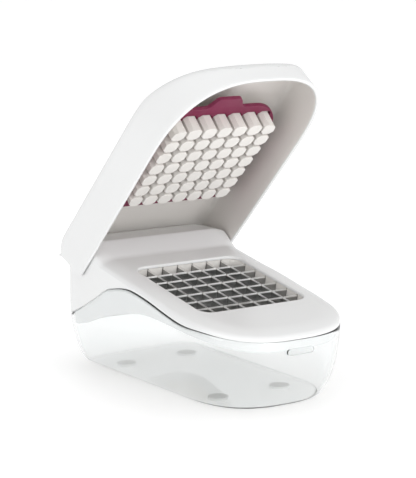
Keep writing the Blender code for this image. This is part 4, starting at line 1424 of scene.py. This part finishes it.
pairs = []
for row, top in BOSS_ROWS:
    unit = turned_unit("lid_boss", tube_profile(LID_BOSS, PEG_BORE, BOSS_LOW, top))
    pairs.append(set_out(
        "lid_boss_pair", units_in_a_line, unit, satin_white_painted_shade, LID_DECK,
        Count=2, Start=(-2.5 * PITCH, row_y(row), 0.0), Step=(5 * PITCH, 0.0, 0.0)))
add_piece("lid_bosses", merged("lid_bosses", pairs), [satin_white_painted_shade], "lid")

# %% [markdown]
# ## The cleaning grid
#
# A maroon plate lies round the pushers' roots, and a tab on its front edge lets a finger pull
# it off. It is a flat curve with forty-nine holes, given thickness and an eased edge, which is
# far simpler than cutting the holes out of a block. The tab's corners are softened by a short
# curve at each of them.

# %% Cleaning grid
GRID_TOP = PLATE_LOW - GAP
GRID_THICK = 0.003
GRID_EASE = 0.0003
GRID_HALF = 0.0553
GRID_FRONT = 0.0061
GRID_REAR = 0.0165
GRID_REAR_CORNER = 0.012
GRID_SWEEP = (0.028, 0.040)
TAB_HALF = 0.0095
TAB_LENGTH = 0.0095
TAB_SLANT = 0.005
TAB_CORNER = 0.0028
HOLE_GAP = 0.0004


def eased_corner(before, corner, after, radius, steps=5):
    """A short curve in place of a corner between two straight edges."""
    corner = Vector(corner)
    ends = [corner + (Vector(other) - corner).normalized() * radius for other in (before, after)]
    shares = [step / steps for step in range(steps + 1)]
    return [tuple((1 - t) ** 2 * ends[0] + 2 * t * (1 - t) * corner + t**2 * ends[1]) for t in shares]


low, high = row_y(CELLS - 0.5) - GRID_FRONT, row_y(-0.5) + GRID_REAR
wide, deep = GRID_SWEEP
right = []
away = GRID_REAR_CORNER
for step in range(9):
    turn = QUARTER_TURN * (1 - step / 8)
    right.append((GRID_HALF - away * (1 - math.cos(turn)), high - away * (1 - math.sin(turn))))
for step in range(21):
    turn = QUARTER_TURN * step / 20
    right.append((GRID_HALF - wide * (1 - math.cos(turn)), low + deep * (1 - math.sin(turn))))
root, tip = (TAB_HALF + TAB_SLANT, low), (TAB_HALF, low - TAB_LENGTH)
right += eased_corner(right[-1], root, tip, TAB_CORNER)
right += eased_corner(root, tip, (0.0, tip[1]), TAB_CORNER)
edge = right + mirrored(right)
hole = cut_square(PUSHER + 2 * HOLE_GAP, PUSHER_CHAMFER)
holes = []
for i in range(CELLS):
    for k in range(CELLS):
        middle = ((i - (CELLS - 1) / 2) * PITCH, row_y(k))
        holes.append([(middle[0] + x, middle[1] + y) for x, y in hole])
grid_mesh = plate_mesh(
    "cleaning_grid_plate", [edge] + holes, GRID_TOP - GRID_THICK, GRID_TOP, GRID_EASE, LID_DECK)
add_piece("cleaning_grid_plate", grid_mesh, [maroon], "cleaning_grid",
          ["cleaning_grid"], sharp=40.0)

# %% [markdown]
# ## Small parts that keep their CAD shape
#
# The frame under the opening, the pins and the finger tab are already right as solids, so
# they stay and only get a finish. A CAD mesh is never changed: its material slots are simply
# filled.

# %% Finishes for the CAD parts
kept = {
    "blade_frame": satin_white_painted_shade,
    "finger_tab": clear_plastic,
    "hinge_pin_left": pin_steel,
    "hinge_pin_right": pin_steel,
}
for name, finish in kept.items():
    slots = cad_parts[name].data.materials
    slots.clear()
    slots.append(finish)
print("dressed CAD parts:", len(kept))

# %% [markdown]
# ## Finish
#
# The last step prints the CAD model's box and the finished model's box side by side. The
# looks have to stay inside the size that the CAD model has.

# %% Finish
bpy.context.view_layer.update()
final_box = [list(corner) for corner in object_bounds()]
for name, corners in (("cad", cad_box), ("visual", final_box)):
    print(name, [[round(value * 1000, 1) for value in corner] for corner in corners])
